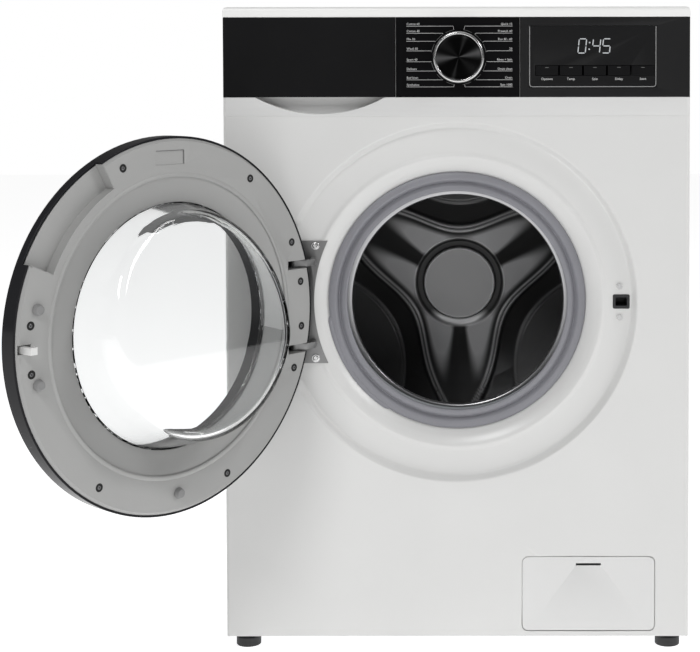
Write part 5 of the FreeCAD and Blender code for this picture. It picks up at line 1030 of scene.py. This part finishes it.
def display_digits():
    """Seven-segment figures: each segment is a six-cornered bar, leaning a little to the right."""
    height, width, lean, bar = 18.0, 9.4, 0.1, 1.35
    lit = {"0": "abcdef", "4": "bcfg", "5": "acdfg"}
    top, mid = height / 2, 0.0
    runs = {
        "a": (0, top, width, top), "b": (width, top, width, mid), "c": (width, mid, width, -top),
        "d": (0, -top, width, -top), "e": (0, mid, 0, -top), "f": (0, top, 0, mid),
        "g": (0, mid, width, mid),
    }
    centre_z = 780.0
    points, faces = [], []
    for figure, left in (("0", 155.4), ("4", 173.4), ("5", 186.2)):
        for key in lit[figure]:
            x0, z0, x1, z1 = runs[key]
            start, end = np.array([x0, z0], float), np.array([x1, z1], float)
            along = (end - start) / np.linalg.norm(end - start)
            side = np.array([-along[1], along[0]])
            start, end = start + along * 0.5, end - along * 0.5
            half = bar / 2
            loop = [start, start + (along + side) * half, end + (side - along) * half, end,
                    end - (along + side) * half, start + (along - side) * half]
            first = len(points)
            for depth in (PANE - 0.05, PANE + 0.05):
                for x, z in loop:
                    points.append((left + x + lean * z, FRONT + depth, centre_z + z))
            faces.append([first + i for i in range(6)])
            faces.append([first + 11 - i for i in range(6)])
            faces += [[first + i, first + 6 + i, first + 6 + (i + 1) % 6, first + (i + 1) % 6]
                      for i in range(6)]
    piece = build("display_digits", np.array(points), faces, digit_glow, "cabinet",
                  smooth=False)
    return face_outwards(piece)


display_digits()
print_and_painted_light_bars("display_colon", [(169.5, 783.4, 169.5, 785.2, 1.8), (168.9, 775.0, 168.9, 776.8, 1.8)],
           digit_glow, front=PANE)
# painted highlight: light lines along the display window's left, bottom and right edges, where the
# recessed edge catches light; the top edge is left dark
x0, x1 = WINDOW_LOW[0] + 0.9, WINDOW_HIGH[0] - 0.9
z0, z1 = WINDOW_LOW[2] + 0.9, WINDOW_HIGH[2] - 0.9
outline = rounded_profile([(x0, z1), (x0, z0), (x1, z0), (x1, z1)], 4.0, closed=False, steps=6)
print_and_painted_light_bars("window_edge_highlight", [(*one, *two, 0.8) for one, two in zip(outline[:-1], outline[1:])],
           painted_edge_highlight, front=PANE)
BUTTON_WORDS = ("Options", "Temp", "Spin", "Delay", "Start")
button_words = []
for index, word in enumerate(BUTTON_WORDS, start=1):
    low, high = node_box("button_%d" % index)
    middle = (low[0] + high[0]) / 2
    button_words.append((word, middle, low[2] - 5.0, 4.4, "CENTER"))
lettering("button_words", button_words, print_white, front=PANE)
for index in range(1, 6):
    low, high = node_box("button_%d" % index)
    middle = (low[0] + high[0]) / 2
    print_and_painted_light_bars("button_%d_mark" % index, [(middle - 2.2, 757.8 - 5.2, middle + 2.2, 757.8 - 5.2, 0.7)],
               print_grey, body="button_%d_cap" % index)

# ---------------------------------------------------------------- remaining pieces

softened("worktop", laminate, width=0.4, segments=2)
softened("service_flap", flap_plastic, width=0.7, segments=2)
softened("cabinet_shell", enamel, width=0.4, segments=1)
softened("back_panel", back_enamel, width=0.4, segments=1)
for name in ("foot_front_left", "foot_front_right", "rear_feet"):
    softened(name, foot_plastic, width=1.2, segments=3)
softened("drawer_tray", drawer_plastic, width=0.5, segments=2)
softened("filter_plug", plug_plastic, width=0.8, segments=2)
softened("inlet_valve", valve_plastic, width=0.5, segments=2)
softened("mains_gland", hose_rubber, width=0.6, segments=2)
softened("drain_pipe", drain_plastic, width=0.4, segments=2)
repaint(galvanised, "base_pan", "top_braces", "damper_tubes")
repaint(drawer_plastic, "dispenser_housing")
repaint(board_green, "control_board")
repaint(hose_rubber, "inlet_hose", "tub_hoses")
repaint(drain_plastic, "filter_housing", "drain_pump")
repaint(plug_plastic, "pump_impeller")
repaint(lock_plastic, "door_lock")
repaint(screw_steel, "cabinet_screws", "door_pins")
repaint(spring_steel, "suspension_springs", "damper_rods")
repaint(tub_plastic, "tub_front", "tub_rear")
repaint(concrete, "front_counterweight")
repaint(heater_steel, "heater")
repaint(motor_metal, "motor")
repaint(bearing_steel, "drum_bearings", "motor_shaft")
repaint(belt_rubber, "drive_belt")
repaint(spider_alloy, "drum_spider", "drum_pulley")

# ---------------------------------------------------------------- floor, light and camera

floor_mesh = bpy.data.meshes.new("floor")
reach = 9.0
floor_mesh.from_pydata([(-reach, -reach, 0), (reach, -reach, 0), (reach, reach, 0),
                        (-reach, reach, 0)], [], [[0, 1, 2, 3]])
floor = bpy.data.objects.new("floor", floor_mesh)
floor_mesh.materials.append(finish("pale_floor", (0.9, 0.9, 0.9), 0.8, tone=0.004, sockets=(
    ("Emission Color", (1, 1, 1, 1)), ("Emission Strength", 0.84),
)))
bpy.context.scene.collection.objects.link(floor)


def softbox(name, place, aim, width, height, power):
    """A plain rectangular area light at a place, facing a point."""
    light = bpy.data.lights.new(name, "AREA")
    light.shape = "RECTANGLE"
    light.size = width
    light.size_y = height
    light.energy = power
    holder = bpy.data.objects.new(name, light)
    holder.location = place
    direction = np.array(aim) - np.array(place)
    flat = math.hypot(direction[0], direction[1])
    holder.rotation_euler = (math.atan2(flat, -direction[2]), 0,
                             math.atan2(direction[1], direction[0]) - math.pi / 2)
    bpy.context.scene.collection.objects.link(holder)
    return holder


softbox("key_light", (-0.8, -2.6, 2.8), (-0.1, 0, 0.6), 1.0, 0.9, 40)
softbox("side_light", (2.5, -1.0, 2.3), (-0.35, -0.4, 0.6), 0.9, 0.8, 26)
softbox("top_light", (0, 0.2, 3.2), (0, 0, 0.4), 3.0, 2.4, 10)

world = bpy.data.worlds.new("studio")
world.use_nodes = True
bpy.context.scene.world = world
nodes, links = world.node_tree.nodes, world.node_tree.links
soft = nodes["Background"]
soft.inputs["Color"].default_value = (1, 1, 1, 1)
soft.inputs["Strength"].default_value = 0.13
seen = nodes.new("ShaderNodeBackground")
seen.inputs["Strength"].default_value = 1.0
seen.inputs["Color"].default_value = (1, 1, 1, 1)
path = nodes.new("ShaderNodeLightPath")
chosen = nodes.new("ShaderNodeMixShader")
links.new(path.outputs["Is Camera Ray"], chosen.inputs["Fac"])
links.new(soft.outputs["Background"], chosen.inputs[1])
links.new(seen.outputs["Background"], chosen.inputs[2])
links.new(chosen.outputs["Shader"], nodes["World Output"].inputs["Surface"])

lens = bpy.data.cameras.new("camera")
lens.sensor_width = 36
lens.lens = 84.832
lens.shift_x = -0.17978
lens.shift_y = -0.28416
lens.clip_start = 0.05
camera = bpy.data.objects.new("camera", lens)
camera.location = (0.030, -2.310, 0.7576)
camera.rotation_euler = (math.radians(90 - 2.2), math.radians(0.0895), math.radians(0.1437))
bpy.context.scene.collection.objects.link(camera)
bpy.context.scene.camera = camera
bpy.context.scene.view_settings.view_transform = "Standard"
